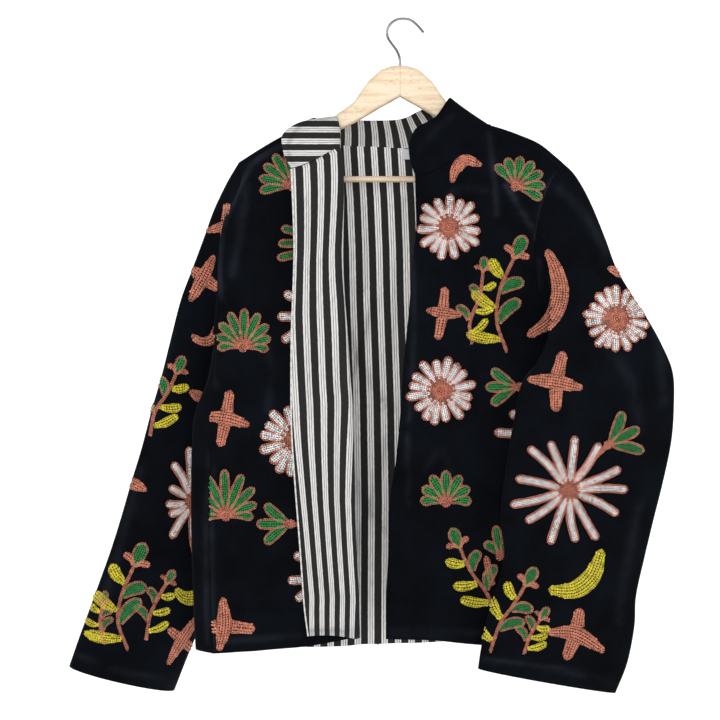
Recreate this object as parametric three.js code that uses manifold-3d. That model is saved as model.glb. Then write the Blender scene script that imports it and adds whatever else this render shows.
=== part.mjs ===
// A lined velvet jacket with a stand collar, hung open on a wooden hanger.
// Its right front hangs straight, and its left front is turned back along a fold, collar and all, so that
// the striped lining shows. Left and right here are those of someone who looks at the jacket.
// Millimetres, +Z up. The front faces -Y, and the origin is the inside of the hook's crown.
import * as THREE from "three";
import { mergeVertices } from "three/addons/utils/BufferGeometryUtils.js";
import Module from "manifold-3d";

// Driving dimensions
const velvetThick = 1.3;
const liningThick = 0.8;
const layerGap = 0.3; // between the velvet and its lining
const collarGap = 0.66; // the same in the collar, which bends more sharply
const seamGap = 0.4; // between two pieces that are sewn together

const hangerCentre = -5.2; // the hanger's middle, beside the point where the hook hangs
const hangerHalfWidth = 204;
const boardHalfThick = 5.9;
const ridgeClearance = 1.9; // between the shoulder's lining and the board
const barRadius = 4;
const barDrop = 207; // the bar's height below the hook's crown
const socketGap = 0.3;
const wireRadius = 1.7;

// How finely each piece is divided
const rowsBelowArmpit = 9;
const rowsAboveArmpit = 7;
const columnsInStrip = 4;
const columnsInFold = 3;
const columnsInNeckLeft = 3;
const columnsInNeckBack = 13;
const columnsInNeckRight = 4;
const columnsInShoulder = 6;
const collarRows = 5;
const sleeveJoins = [0, 5, 10, 16]; // the rings where the left sleeve's three lengths start and end

const foldRound = 4.6; // how far the turned front edge stands out at its fold
const chestFullness = 7; // how far the fronts swell between their edges
const bladeFullness = 6; // the same for the back
const seamAngle = (18 * Math.PI) / 180; // from the sleeve's outer fold to the shoulder seam

// Tables: each has named columns and one row for each section or point
const table = (names, ...rows) =>
  rows.map((row) => Object.fromEntries(names.split(" ").map((name, i) => [name, row[i]])));

// The collar's sections, from the turned-back end round the neck to the other end: where each one is
// sewn on, the middle of its height, and its free edge.
const collarSections = table(
  "seamX seamY seamZ midX midY midZ freeX freeY freeZ",
  [-144.9, -36, -198, -152.9, -37, -183, -156.8, -36, -166.5],
  [-132.2, -37, -194.8, -145.2, -38, -176, -155.3, -35, -155],
  [-114.3, -37, -187.5, -128.5, -37.5, -164.5, -141.7, -32, -143],
  [-99, -36.5, -179, -110.5, -35.5, -156, -121, -29, -135.4],
  [-88.8, -35.5, -173.6, -88.3, -32, -151, -88.6, -25.5, -130.6],
  [-86, -26, -170.9, -87, -19.5, -150, -88.2, -16, -130.5],
  [-96, -18, -159, -97.5, -15.5, -144, -105, -14.5, -131.5],
  [-109, -9.2, -143, -112.5, -9.2, -133.5, -129, -11, -137.5],
  [-114, -4.6, -135, -117, -4.4, -129, -139, -5, -138.5],
  [-115, 4.6, -135.4, -118, 8, -129, -140, 12, -137.5],
  [-110, 10, -142, -114, 19, -131.5, -132, 28, -131],
  [-99, 18, -151, -101, 31, -136, -111, 43, -122],
  [-78, 24, -159.3, -78, 37, -139.5, -80, 52, -120.5],
  [-37.4, 27, -160.4, -38, 42, -141, -40, 56, -120.5],
  [7.5, 26, -162.6, 3.5, 41, -141, -2, 53, -119],
  [50, 23, -157.5, 38, 34, -134, 23, 41, -109.5],
  [85, 17, -150, 66, 22, -127, 45, 25, -104],
  [100, 9.2, -142.5, 81, 12.5, -123.5, 57, 13.5, -104.5],
  [106, 4.6, -136.4, 84, 5, -121.5, 59.5, 5, -103.5],
  [106, -5.2, -137, 84, -5.4, -122, 59.5, -4.5, -104],
  [101.5, -10.3, -144.4, 80, -13, -126.5, 56, -11, -106],
  [85.2, -18, -165.1, 64, -25, -147, 41, -23, -129],
  [66.6, -24, -181.7, 48, -30, -161, 30, -31, -137.5],
  [33, -25, -201.2, 22, -31, -175, 13, -33, -148],
  [13.2, -24, -205.1, 6.5, -29, -187, 4.5, -31, -168],
);
const leftNeckPoint = 7; // the sections where the shoulder seams meet the collar
const rightNeckPoint = 20;
const foldSection = 4; // the turn lies between this section and the next

// The ridges of the shoulders, from the neck outwards
const rightRidge = table(
  "x z",
  [106.6, -135.2],
  [128, -143],
  [149.5, -150.8],
  [175.5, -162.5],
  [202.8, -184.6],
);
const leftRidge = table(
  "x z",
  [-115, -134],
  [-137, -143.2],
  [-159.9, -153.4],
  [-184.6, -167.7],
  [-213.2, -185.9],
);
// Where the cloth rides on the hanger: the half width of its flat top and of its sides, and how far each
// lies below the ridge. The shoulder seam runs along the front side.
const ridgeTop = { half: 4.6, drop: 1.2 };
const ridgeSide = { half: 9.2, drop: 8.4 };

// The cloth beside the collar, from the left shoulder seam to the middle of the neck: how far each point
// lies from the neckline, in the rows in front of the ridge, behind it, and at the top of the back
const besideNeck = table(
  "frontX frontY backX backY topX topY",
  [-8.5, 4.6, -11, 13.8, -12, 18.4],
  [-2.5, 3.1, -4.5, 9.6, -5.5, 14.6],
  [-2, 1.2, -3, 3.4, -3.5, 6.9],
  [-1.7, 1.3, -3.3, 2.7, -5, 4],
  [-1, 1, -2, 2, -3, 3],
  [0, 0.7, 0, 1.3, 0, 2],
);
const besideNeckDrop = 7; // how far the top of the back lies below the neckline

// Armholes, from the shoulder seam down the front to the armpit, and from there up the back
const rightArmholeFront = table(
  "x y z",
  [201.5, -9.2, -193],
  [189, -15, -212],
  [178, -19, -238],
  [170, -21, -274],
  [167, -21, -316],
  [179, -19, -366],
  [229, -6, -412],
);
const rightArmholeBack = table(
  "x y z",
  [229, -6, -412],
  [214, 15, -372],
  [204, 20, -316],
  [201, 20, -262],
  [203, 15, -218],
  [203, 9.2, -193.5],
);
const leftArmholeFront = table(
  "x y z",
  [-212, -9.2, -194.5],
  [-210, -15, -212],
  [-219.3, -19, -238],
  [-232.4, -22, -270],
  [-238, -23, -322.8],
  [-238.2, -20, -357.3],
  [-236, -16, -383],
  [-242, -4, -410],
);
const leftArmholeBack = table(
  "x y z",
  [-242, -4, -410],
  [-234, 15, -372],
  [-222, 20, -316],
  [-214, 20, -262],
  [-213, 15, -218],
  [-213.5, 9.2, -194.5],
);

// Side sections below the armpits: the side seam, the outermost point of the side, and the depth of the back
const leftSide = table(
  "seamX seamY seamZ sideX sideY backY",
  [-242, -4, -410, -243.5, 4, 24],
  [-245.3, -14, -467.8, -254, 2, 27],
  [-248.5, -20, -519, -272, 0, 29],
  [-249.3, -24, -621.3, -275.5, 0, 31],
  [-246.5, -26, -748.9, -272.5, 2, 33],
  [-243.8, -27, -817, -269.8, 3, 34],
);
const rightSide = table(
  "seamX seamY seamZ sideX sideY backY",
  [226, -6, -412, 228, 4, 24],
  [229, -14, -468, 240, 2, 27],
  [231, -18, -520, 252, 0, 29],
  [231, -20, -622, 256, 0, 31],
  [228, -21, -750, 252, 2, 33],
  [226, -22, -817, 249, 3, 34],
);
const sideRound = 34; // how far in from the side the back lies flat

// The centre-front edges, from the hem up
const rightFrontEdge = table(
  "x y z",
  [-24.1, -34, -797],
  [-24.1, -34, -747.4],
  [-21.6, -34, -692.7],
  [-19, -33, -620.2],
  [-11.4, -33, -569.3],
  [-5, -32, -499.3],
  [-1.1, -31, -442],
  [5.3, -30, -378.2],
  [9.2, -29, -327.1],
  [14.3, -28, -276],
  [13.8, -26, -237.4],
  [13.2, -24, -205.1],
);
const foldLine = table(
  "x y z",
  [-62.3, -34, -794.4],
  [-64.2, -34, -730.8],
  [-67.4, -33, -668.6],
  [-69.9, -33, -579.5],
  [-71.2, -32, -504.4],
  [-74.4, -32, -464.9],
  [-78.2, -32, -403.8],
  [-81.4, -31, -365.5],
  [-83.3, -31, -328.5],
  [-83.4, -30, -280],
  [-82.7, -29, -242.9],
  [-83.1, -28, -207],
  [-86, -26, -170.9],
);
const stripEdge = table(
  "x y z",
  [-121.9, -46, -790.4],
  [-126.4, -46, -755.5],
  [-129.9, -46, -709.8],
  [-133.3, -46, -662.8],
  [-137.9, -45, -605.7],
  [-142.6, -45, -535.9],
  [-143.5, -44, -467.4],
  [-142.9, -43, -402.7],
  [-141, -42, -353.1],
  [-139.8, -40, -304.8],
  [-141.1, -38, -256.4],
  [-143.8, -36, -198.8],
);
const foldDepth = 9.5; // from the front that hangs to the strip that is turned back over it

// Hems of the fronts and of the back, from left to right
const leftHem = table(
  "x y z",
  [-62.3, -34, -794.4],
  [-95.4, -33, -801.3],
  [-136.2, -32, -807.9],
  [-192.4, -31, -813.2],
  [-243.8, -27, -817],
);
const rightHem = table(
  "x y z",
  [-24.1, -34, -797],
  [6.5, -33, -798],
  [43.5, -31, -800.2],
  [96.1, -28, -806],
  [160.3, -25, -811],
  [226, -22, -817],
);
const backHem = table(
  "x z",
  [-269.8, -822],
  [-197.4, -826],
  [-142, -824],
  [-100.9, -822.5],
  [-47.9, -820.6],
  [20.9, -817.5],
  [62, -816],
  [128, -816.5],
  [249, -818],
);

// Long soft folds in the body: where each starts and ends, its width and its depth
const frontFolds = table(
  "topX topZ lowX lowZ width depth",
  [-176, -330, -168, -800, 30, 4],
  [-205, -300, -214, -560, 16, 4],
  [62, -260, 34, -790, 34, 4],
  [118, -230, 100, -700, 22, 3],
);
const backFolds = table(
  "topX topZ lowX lowZ width depth",
  [-72, -220, -52, -820, 18, 7],
  [-20, -260, -14, -820, 24, 5],
  [60, -240, 70, -820, 30, 6],
  [150, -260, 160, -820, 34, 5],
  [-160, -260, -150, -820, 34, 5],
);

// Sleeve sections, from the shoulder to the cuff: the outer fold, the inner fold, and half the depth between
// the two layers in front of them and behind
const rightSleeve = table(
  "outX outY outZ inX inY inZ front back bow",
  [221, -4, -204, 226, -18, -408, 19, 17, 46],
  [239, -8, -237.6, 207, -38, -424, 18, 17, 36],
  [258, -12, -285.9, 182, -54, -438, 17, 15, 24],
  [271, -16, -323.6, 162, -60, -452, 16, 14, 12],
  [291, -20, -359.7, 148, -62, -468, 15, 13, 4],
  [311, -23, -391.9, 141, -62, -492, 15, 12, 0],
  [327.4, -25, -422.8, 136, -62, -520, 15, 12, 0],
  [341, -27, -458, 131, -62, -548, 15, 12, 0],
  [342, -29, -500, 125.7, -61, -585, 14, 12, 0],
  [338.5, -30, -545, 121.5, -60, -622, 14, 12, 0],
  [328, -32, -594, 120.7, -60, -652, 14, 12, 0],
  [315, -33, -645, 125, -58, -683, 14, 12, 0],
  [303, -34, -694, 118.4, -58, -718, 13, 12, 0],
  [292.3, -35, -741.9, 108.4, -57, -749, 13, 11, 0],
  [290, -36, -780, 100.5, -57, -779, 13, 11, 0],
  [281, -36, -826, 95.5, -56, -806, 13, 11, 0],
  [266, -36, -864, 92.1, -56, -829, 13, 11, 0],
);
const leftSleeve = table(
  "outX outY outZ inX inY inZ front back bow",
  [-229, 3, -211.6, -248, 9, -408, 18, 18, -5],
  [-246.2, 6, -246.5, -238, 34, -424, 18, 20, 0],
  [-259.7, 9, -282.6, -233, 52, -438, 19, 22, 0],
  [-276, 12, -325, -229, 64, -458, 20, 24, 0],
  [-290.6, 14, -363.3, -227, 72, -482, 21, 25, 0],
  [-304, 16, -414, -225, 77, -512, 22, 25, 0],
  [-316, 18, -461, -224, 80, -545, 23, 25, 0],
  [-330, 19, -509, -224, 82, -580, 24, 25, 0],
  [-343, 20, -558, -226, 83, -618, 24, 25, 0],
  [-357, 20, -604, -231, 82, -656, 24, 25, 0],
  [-370, 20, -649, -238, 80, -693, 25, 25, 0],
  [-383.5, 20, -692, -247, 77, -728, 25, 25, 0],
  [-398, 19, -733, -259, 72, -762, 25, 25, 0],
  [-412, 18, -772, -272, 66, -795, 26, 25, 0],
  [-425, 17, -808, -289, 60, -836, 26, 25, 0],
  [-437, 16, -843, -308, 56, -885, 26, 24, 0],
);

// The board of the hanger, from its middle outwards: its upper and lower edges
const board = table(
  "out top low",
  [0, -58.9, -100.1],
  [12, -60.4, -107],
  [25, -65, -114],
  [41.6, -80.1, -124],
  [60.7, -107.5, -135],
  [84, -124, -146],
);
const boardEndDrop = 9; // how far the board reaches below the bar at its ends
const bracket = 178; // where the lower edge starts to swell round the bar

// The hook's centre line, from inside the board up and round to its tip
const hookLine = table(
  "x z",
  [-5.2, -73],
  [-5.2, -60],
  [-5.6, -50],
  [-9.1, -40.3],
  [-15.5, -31.5],
  [-21.2, -22.3],
  [-21.6, -12],
  [-16, -3.4],
  [-8, 0.9],
  [0, 1.7],
  [8.5, 0],
  [16, -5.6],
  [21.5, -11.6],
  [25.5, -16.4],
);
const hookSteps = 34;
const wireSides = 8;

// The small blank tag at the back of the neck
const tag = { x: 3.4, width: 10.5, height: 13.5, thick: 0.5 };

// Curves through the rows of a table, and even steps along them
const point = (row) => new THREE.Vector3(row.x, row.y ?? 0, row.z);
const between = (a, b, t) => a.clone().lerp(b, t);
const clamp = THREE.MathUtils.clamp;

function onCurve(points, at) {
  const last = points.length - 1;
  const i = clamp(Math.floor(at), 0, last - 1);
  const t = at - i;
  const [b, c] = [points[i], points[i + 1]];
  const a = i > 0 ? points[i - 1] : b.clone().multiplyScalar(2).sub(c);
  const d = i + 2 <= last ? points[i + 2] : c.clone().multiplyScalar(2).sub(b);
  const step = (k) => {
    const [p, q, r, s] = [a, b, c, d].map((v) => v.getComponent(k));
    const square = 2 * p - 5 * q + 4 * r - s;
    const cube = 3 * q - p - 3 * r + s;
    return 0.5 * (2 * q + (r - p) * t + square * t ** 2 + cube * t ** 3);
  };
  return new THREE.Vector3(step(0), step(1), step(2));
}

function evenly(points, count) {
  const perSpan = 24;
  const dense = [];
  for (let i = 0; i <= (points.length - 1) * perSpan; i++) {
    dense.push(onCurve(points, i / perSpan));
  }
  const run = [0];
  for (let i = 1; i < dense.length; i++) {
    run.push(run[i - 1] + dense[i].distanceTo(dense[i - 1]));
  }
  const total = run[run.length - 1];
  const out = [];
  for (let k = 0, i = 0; k <= count; k++) {
    const goal = (total * k) / count;
    while (i < run.length - 2 && run[i + 1] < goal) i++;
    const t = clamp((goal - run[i]) / (run[i + 1] - run[i]), 0, 1);
    out.push(between(dense[i], dense[i + 1], t));
  }
  return out;
}

// A patch stretched between four edges: each is a list of points, and low and high run across it. The side
// edges' own depth dies away quickly from them, so that an armpit doesn't crease the whole panel.
function patch(low, high, left, right) {
  const [columns, rows] = [low.length - 1, left.length - 1];
  const fade = 3;
  return left.map((_, r) =>
    low.map((_, c) => {
      const [u, v] = [c / columns, r / rows];
      const fromLeft = left[r].clone().sub(between(low[0], high[0], v));
      const fromRight = right[r].clone().sub(between(low[columns], high[columns], v));
      const p = between(low[c], high[c], v);
      p.x += (1 - u) * fromLeft.x + u * fromRight.x;
      p.y += (1 - u) ** fade * fromLeft.y + u ** fade * fromRight.y;
      p.z += (1 - u) * fromLeft.z + u * fromRight.z;
      return p;
    }),
  );
}

// The depth of a table of long folds at a place: each is a soft trough that fades at both ends
function foldsAt(folds, x, z) {
  let depth = 0;
  for (const fold of folds) {
    const t = clamp((fold.topZ - z) / (fold.topZ - fold.lowZ), 0, 1);
    const middle = THREE.MathUtils.lerp(fold.topX, fold.lowX, t);
    const off = (x - middle) / fold.width;
    depth += fold.depth * Math.exp(-off * off) * THREE.MathUtils.smoothstep(t, 0, 0.35);
  }
  return depth;
}

// Moves the inner points of a grid in depth
function shaped(grid, depthOf) {
  const [rows, columns] = [grid.length - 1, grid[0].length - 1];
  grid.forEach((row, r) =>
    row.forEach((p, c) => {
      p.y += depthOf(p, c / columns, r / rows);
    }),
  );
  return grid;
}

// Collar sections and the neckline
const sectionPoints = ["seam", "mid", "free"].map((part) =>
  collarSections.map((s) => new THREE.Vector3(s[part + "X"], s[part + "Y"], s[part + "Z"])),
);

function collarSection(at) {
  const t = at - foldSection;
  if (t <= 0 || t >= 1) return sectionPoints.map((points) => onCurve(points, at));
  return sectionPoints.map((points) => {
    const p = between(points[foldSection], points[foldSection + 1], t);
    p.x += foldRound * Math.sin(Math.PI * t) * (points === sectionPoints[2] ? 0.4 : 1);
    return p;
  });
}

const span = (from, to, count) =>
  Array.from({ length: count + 1 }, (_, i) => from + ((to - from) * i) / count);
const sectionsUsed = [
  ...span(0, foldSection, columnsInStrip),
  ...span(foldSection, foldSection + 1, columnsInFold).slice(1),
  ...span(foldSection + 1, leftNeckPoint, columnsInNeckLeft).slice(1),
  ...span(leftNeckPoint, rightNeckPoint, columnsInNeckBack).slice(1),
  ...span(rightNeckPoint, collarSections.length - 1, columnsInNeckRight).slice(1),
].map(collarSection);
const neckline = sectionsUsed.map((section) => section[0]);
const foldEnd = columnsInStrip + columnsInFold;
const leftNeckColumn = foldEnd + columnsInNeckLeft;
const rightNeckColumn = leftNeckColumn + columnsInNeckBack;

// Height of the cloth over a ridge
function overRidge(ridge, x, y) {
  const points = ridge.map(point).sort((a, b) => a.x - b.x);
  const i = clamp(points.findIndex((p) => p.x > x), 1, points.length - 1);
  const [a, b] = [points[i - 1], points[i]];
  const z = THREE.MathUtils.lerp(a.z, b.z, (x - a.x) / (b.x - a.x));
  const t = clamp((Math.abs(y) - ridgeTop.half) / (ridgeSide.half - ridgeTop.half), 0, 1);
  return z - THREE.MathUtils.lerp(ridgeTop.drop, ridgeSide.drop, t);
}

// A line along a shoulder, at one side of its ridge
function shoulderLine(ridge, y, start, end) {
  const inner = ridge.slice(1, -1).map((row) => new THREE.Vector3(row.x, y, overRidge(ridge, row.x, y)));
  return evenly([start, ...inner, end], columnsInShoulder);
}

function makeShell() {
  const rows = rowsBelowArmpit + rowsAboveArmpit;
  const armholes = {
    left: { front: leftArmholeFront.map(point), back: leftArmholeBack.map(point), ridge: leftRidge },
    right: { front: rightArmholeFront.map(point), back: rightArmholeBack.map(point), ridge: rightRidge },
  };
  for (const hole of Object.values(armholes)) {
    hole.frontPoints = evenly(hole.front, rowsAboveArmpit);
    hole.backPoints = evenly(hole.back, rowsAboveArmpit);
    const tip = hole.ridge[hole.ridge.length - 1];
    const tipHeight = tip.z - ridgeTop.drop;
    hole.tips = [ridgeTop.half, -ridgeTop.half].map((y) => new THREE.Vector3(tip.x, y, tipHeight));
  }

  // The rows of the back that pass over the ridges, where they run beside the neckline
  const backNeck = neckline.slice(leftNeckColumn, rightNeckColumn + 1);
  const beside = (part, share) =>
    backNeck.map((p, i) => {
      const isLeft = i <= columnsInNeckBack / 2;
      const fromSide = isLeft ? i : columnsInNeckBack - i;
      const shift = besideNeck[Math.min(fromSide, besideNeck.length - 1)];
      const inward = isLeft ? 1 : -1;
      const q = new THREE.Vector3(p.x + inward * shift[part + "X"], p.y + shift[part + "Y"], p.z);
      const lower = p.z - besideNeckDrop * share;
      const onRidge = overRidge(isLeft ? leftRidge : rightRidge, q.x, q.y);
      q.z = fromSide < 3 ? onRidge - Math.max(0, q.y - ridgeSide.half) : lower;
      return q;
    });
  const neckRows = {
    seam: backNeck,
    front: beside("front", 1 / 3),
    back: beside("back", 2 / 3),
    top: beside("top", 1),
  };
  const shoulder = (hole, i) => ({
    seam: shoulderLine(hole.ridge, -ridgeSide.half, neckRows.seam[i], hole.frontPoints[0]),
    front: shoulderLine(hole.ridge, -ridgeTop.half, neckRows.front[i], hole.tips[1]),
    back: shoulderLine(hole.ridge, ridgeTop.half, neckRows.back[i], hole.tips[0]),
    top: shoulderLine(hole.ridge, ridgeSide.half, neckRows.top[i], hole.backPoints[rowsAboveArmpit]),
  });
  const left = shoulder(armholes.left, 0);
  const right = shoulder(armholes.right, columnsInNeckBack);
  const acrossShoulders = (part) => [
    ...left[part].slice(1).reverse(),
    ...neckRows[part],
    ...right[part].slice(1),
  ];

  // Side seams, and the sections of the back below the armpits
  const sideRows = (side, part) =>
    evenly(
      side.map((s) => new THREE.Vector3(s[part + "X"], s[part + "Y"], s.seamZ)),
      rowsBelowArmpit,
    ).reverse();
  const seams = { left: sideRows(leftSide, "seam"), right: sideRows(rightSide, "seam") };
  const sides = { left: sideRows(leftSide, "side"), right: sideRows(rightSide, "side") };
  const depths = evenly(
    leftSide.map((s) => new THREE.Vector3(0, s.backY, s.seamZ)),
    rowsBelowArmpit,
  ).reverse();
  const hemPoints = backHem.map(point);
  const hemHeight = (x) => {
    const i = clamp(hemPoints.findIndex((p) => p.x > x), 1, hemPoints.length - 1);
    const [a, b] = [hemPoints[i - 1], hemPoints[i]];
    return THREE.MathUtils.lerp(a.z, b.z, clamp((x - a.x) / (b.x - a.x), 0, 1));
  };
  const backColumns = columnsInNeckBack + 2 * columnsInShoulder;
  const backSection = (r) => {
    const [a, b] = [sides.left[r], sides.right[r]];
    const z = (a.z + b.z) / 2;
    const flat = (x, y) => new THREE.Vector3(x, y, z);
    const y = depths[r].y;
    const wide = b.x - a.x;
    const row = evenly(
      [
        seams.left[r],
        a,
        flat(a.x + sideRound * 0.4, y * 0.72),
        flat(a.x + sideRound * 1.5, y),
        flat(a.x + wide * 0.36, y + 1),
        flat(a.x + wide * 0.64, y + 1),
        flat(b.x - sideRound * 1.5, y),
        flat(b.x - sideRound * 0.4, y * 0.72),
        b,
        seams.right[r],
      ],
      backColumns,
    );
    const fade = (1 - r / rowsBelowArmpit) ** 3;
    row.forEach((p, c) => {
      const inner = Math.min(1, (4 * Math.min(c, backColumns - c)) / backColumns);
      p.z += (hemHeight(p.x) - z) * fade * inner;
    });
    return row;
  };
  const lowerBack = Array.from({ length: rowsBelowArmpit + 1 }, (_, r) => backSection(r));
  const upperBack = patch(
    lowerBack[rowsBelowArmpit],
    acrossShoulders("top"),
    armholes.left.backPoints,
    armholes.right.backPoints,
  );
  const main = [...lowerBack, ...upperBack.slice(1)];
  shaped(main, (p, u, v) => {
    const inner = Math.sin(Math.PI * u) ** 0.5;
    const hem = v < 0.5 ? 1 : Math.sin(Math.PI * v);
    const swell = bladeFullness * Math.sin(Math.PI * u) * Math.sin(Math.PI * v);
    return inner * hem * (foldsAt(backFolds, p.x, p.z) - 2) + swell;
  });
  const back = [...main, ...["back", "front", "seam"].map(acrossShoulders)];

  // Fronts: from the centre edge or the fold to the side
  const sideOf = (side) => [...seams[side], ...armholes[side].frontPoints.slice(0, -1).reverse()];
  const fullness = (p, u, v) => {
    const inner = Math.sin(Math.PI * u);
    const hem = Math.min(1, 4 * (1 - v));
    const swell = -inner * Math.sin(Math.PI * v) * chestFullness;
    return swell + inner * hem * (foldsAt(frontFolds, p.x, p.z) - 1.5);
  };
  const rightTop = [...neckline.slice(rightNeckColumn).reverse(), ...right.seam.slice(1)];
  const rightLow = evenly(rightHem.map(point), rightTop.length - 1);
  const rightEdge = evenly(rightFrontEdge.map(point), rows);
  const frontRight = shaped(patch(rightLow, rightTop, rightEdge, sideOf("right")), fullness);
  const leftTop = [...neckline.slice(foldEnd, leftNeckColumn + 1), ...left.seam.slice(1)];
  const fold = evenly(foldLine.map(point), rows);
  const leftLow = evenly(leftHem.map(point), leftTop.length - 1);
  const leftMain = shaped(patch(leftLow, leftTop, fold, sideOf("left")), fullness);
  const stripTop = neckline.slice(0, columnsInStrip + 1);
  const stripFold = fold.map((p) => p.clone().add(new THREE.Vector3(-0.6, -foldDepth, -0.3)));
  stripFold[rows] = stripTop[columnsInStrip];
  const edge = evenly(stripEdge.map(point), rows);
  const stripLow = span(0, 1, columnsInStrip).map((t) => {
    const p = between(edge[0], stripFold[0], t);
    p.z += 2.5 * Math.sin(Math.PI * t);
    return p;
  });
  const strip = patch(stripLow, stripTop, edge, stripFold);
  const frontLeft = strip.map((row, r) => {
    const turn = span(0, 1, columnsInFold)
      .slice(1, -1)
      .map((t) => {
        const p = between(row[columnsInStrip], leftMain[r][0], t);
        p.x += foldRound * Math.sin(Math.PI * t);
        return p;
      });
    return [...row, ...turn, ...leftMain[r]];
  });
  for (let c = columnsInStrip; c <= foldEnd; c++) frontLeft[rows][c] = neckline[c].clone();

  // Sleeves: rings that start as the armhole itself
  const ringAngles = [
    ...span(seamAngle, Math.PI, rowsAboveArmpit),
    ...span(Math.PI, 2 * Math.PI - seamAngle, rowsAboveArmpit).slice(1),
    2 * Math.PI - seamAngle / 2,
    2 * Math.PI + seamAngle / 2,
  ];
  const sleeve = (sections, hole) => {
    const first = [...hole.frontPoints, ...hole.backPoints.slice(1), ...hole.tips];
    const rings = sections.map((s) => {
      const [out, inn] = [new THREE.Vector3(s.outX, s.outY, s.outZ), new THREE.Vector3(s.inX, s.inY, s.inZ)];
      return ringAngles.map((angle) => {
        const p = between(out, inn, (1 - Math.cos(angle)) / 2);
        const swell = Math.abs(Math.sin(angle)) ** 0.85;
        p.y += Math.sin(angle) > 0 ? -s.front * swell : s.back * swell;
        p.x -= Math.sin(angle) > 0 ? s.bow * swell ** 2 : 0;
        return p;
      });
    });
    return [first, ...rings];
  };
  return {
    front_left: { grid: frontLeft, flip: true },
    front_right: { grid: frontRight, flip: false },
    back: { grid: back, flip: true },
    sleeve_left: { grid: sleeve(leftSleeve, armholes.left), flip: true, ring: true },
    sleeve_right: { grid: sleeve(rightSleeve, armholes.right), flip: false, ring: true },
    collar: { grid: collarGrid(), flip: true },
  };
}

function collarGrid() {
  const grid = [];
  for (let r = 0; r <= collarRows; r++) {
    grid.push(sectionsUsed.map((section) => onCurve(section, (2 * r) / collarRows)));
  }
  return grid;
}

// Outward directions at every point of the sewn shell: pieces that share a point share its direction
function addNormals(shell) {
  const sums = new Map();
  const key = (p) => `${Math.round(p.x * 500)},${Math.round(p.y * 500)},${Math.round(p.z * 500)}`;
  const add = (p, n) => {
    const sum = sums.get(key(p)) ?? new THREE.Vector3();
    sums.set(key(p), sum.add(n));
  };
  const turned = new THREE.Vector3();
  const side = new THREE.Vector3();
  for (const piece of Object.values(shell)) {
    const columns = piece.grid[0].length;
    const lastColumn = piece.ring ? columns : columns - 1;
    for (let r = 0; r < piece.grid.length - 1; r++)
      for (let c = 0; c < lastColumn; c++) {
        const [a, b] = [piece.grid[r][c], piece.grid[r][(c + 1) % columns]];
        const [d, e] = [piece.grid[r + 1][c], piece.grid[r + 1][(c + 1) % columns]];
        turned.subVectors(e, a).cross(side.subVectors(d, b)).normalize();
        if (piece.flip) turned.negate();
        [a, b, d, e].forEach((p) => add(p, turned));
      }
  }
  const normalAt = (p) => sums.get(key(p)).clone().normalize();
  for (const piece of Object.values(shell)) {
    piece.normals = piece.grid.map((row) => row.map(normalAt));
  }
}

// One length of a sleeve, between two of its rings
const lengthOf = (piece, from, to) => ({
  ...piece,
  grid: piece.grid.slice(from, to + 1),
  normals: piece.normals.slice(from, to + 1),
});

// A closed wall between two offsets from a piece of the shell, drawn in at its edges
function wall(piece, inner, outer, inset) {
  const [rows, columns] = [piece.grid.length, piece.grid[0].length];
  const lastColumn = piece.ring ? columns : columns - 1;
  const drawnIn = (r, c) => {
    const p = piece.grid[r][c].clone();
    const towards = (q) => p.add(q.clone().sub(piece.grid[r][c]).setLength(inset));
    if (r === 0) towards(piece.grid[1][c]);
    if (r === rows - 1) towards(piece.grid[r - 1][c]);
    if (!piece.ring && c === 0) towards(piece.grid[r][1]);
    if (!piece.ring && c === columns - 1) towards(piece.grid[r][c - 1]);
    return p;
  };
  const positions = [];
  const index = (layer, r, c) => (layer * rows + r) * columns + (c % columns);
  for (const offset of [inner, outer]) {
    for (let r = 0; r < rows; r++) {
      for (let c = 0; c < columns; c++) {
        const p = drawnIn(r, c).addScaledVector(piece.normals[r][c], offset);
        positions.push(p.x, p.y, p.z);
      }
    }
  }
  const faces = [];
  const quad = (a, b, c, d) => (piece.flip ? faces.push(a, c, b, a, d, c) : faces.push(a, b, c, a, c, d));
  for (let r = 0; r < rows - 1; r++)
    for (let c = 0; c < lastColumn; c++) {
      quad(index(1, r, c), index(1, r, c + 1), index(1, r + 1, c + 1), index(1, r + 1, c));
      quad(index(0, r, c), index(0, r + 1, c), index(0, r + 1, c + 1), index(0, r, c + 1));
    }
  const [top, end] = [rows - 1, columns - 1];
  for (let c = 0; c < lastColumn; c++) {
    quad(index(0, 0, c), index(0, 0, c + 1), index(1, 0, c + 1), index(1, 0, c));
    quad(index(0, top, c + 1), index(0, top, c), index(1, top, c), index(1, top, c + 1));
  }
  for (let r = 0; r < top && !piece.ring; r++) {
    quad(index(0, r + 1, 0), index(0, r, 0), index(1, r, 0), index(1, r + 1, 0));
    quad(index(0, r, end), index(0, r + 1, end), index(1, r + 1, end), index(1, r, end));
  }
  const geometry = new THREE.BufferGeometry();
  geometry.setAttribute("position", new THREE.Float32BufferAttribute(positions, 3));
  geometry.setIndex(faces);
  return geometry;
}

// Joins and cuts
const wasm = await Module();
wasm.setup();

function solid(geometry) {
  const bare = new THREE.BufferGeometry();
  const flat = geometry.index ? geometry.toNonIndexed() : geometry;
  bare.setAttribute("position", flat.getAttribute("position"));
  const merged = mergeVertices(bare, 1e-3);
  return new wasm.Manifold(
    new wasm.Mesh({
      numProp: 3,
      vertProperties: new Float32Array(merged.attributes.position.array),
      triVerts: new Uint32Array(merged.index.array),
    }),
  );
}

function geometryOf(made) {
  const mesh = made.getMesh();
  const geometry = new THREE.BufferGeometry();
  geometry.setAttribute("position", new THREE.Float32BufferAttribute(mesh.vertProperties, 3));
  geometry.setIndex(Array.from(mesh.triVerts));
  return geometry;
}

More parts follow.
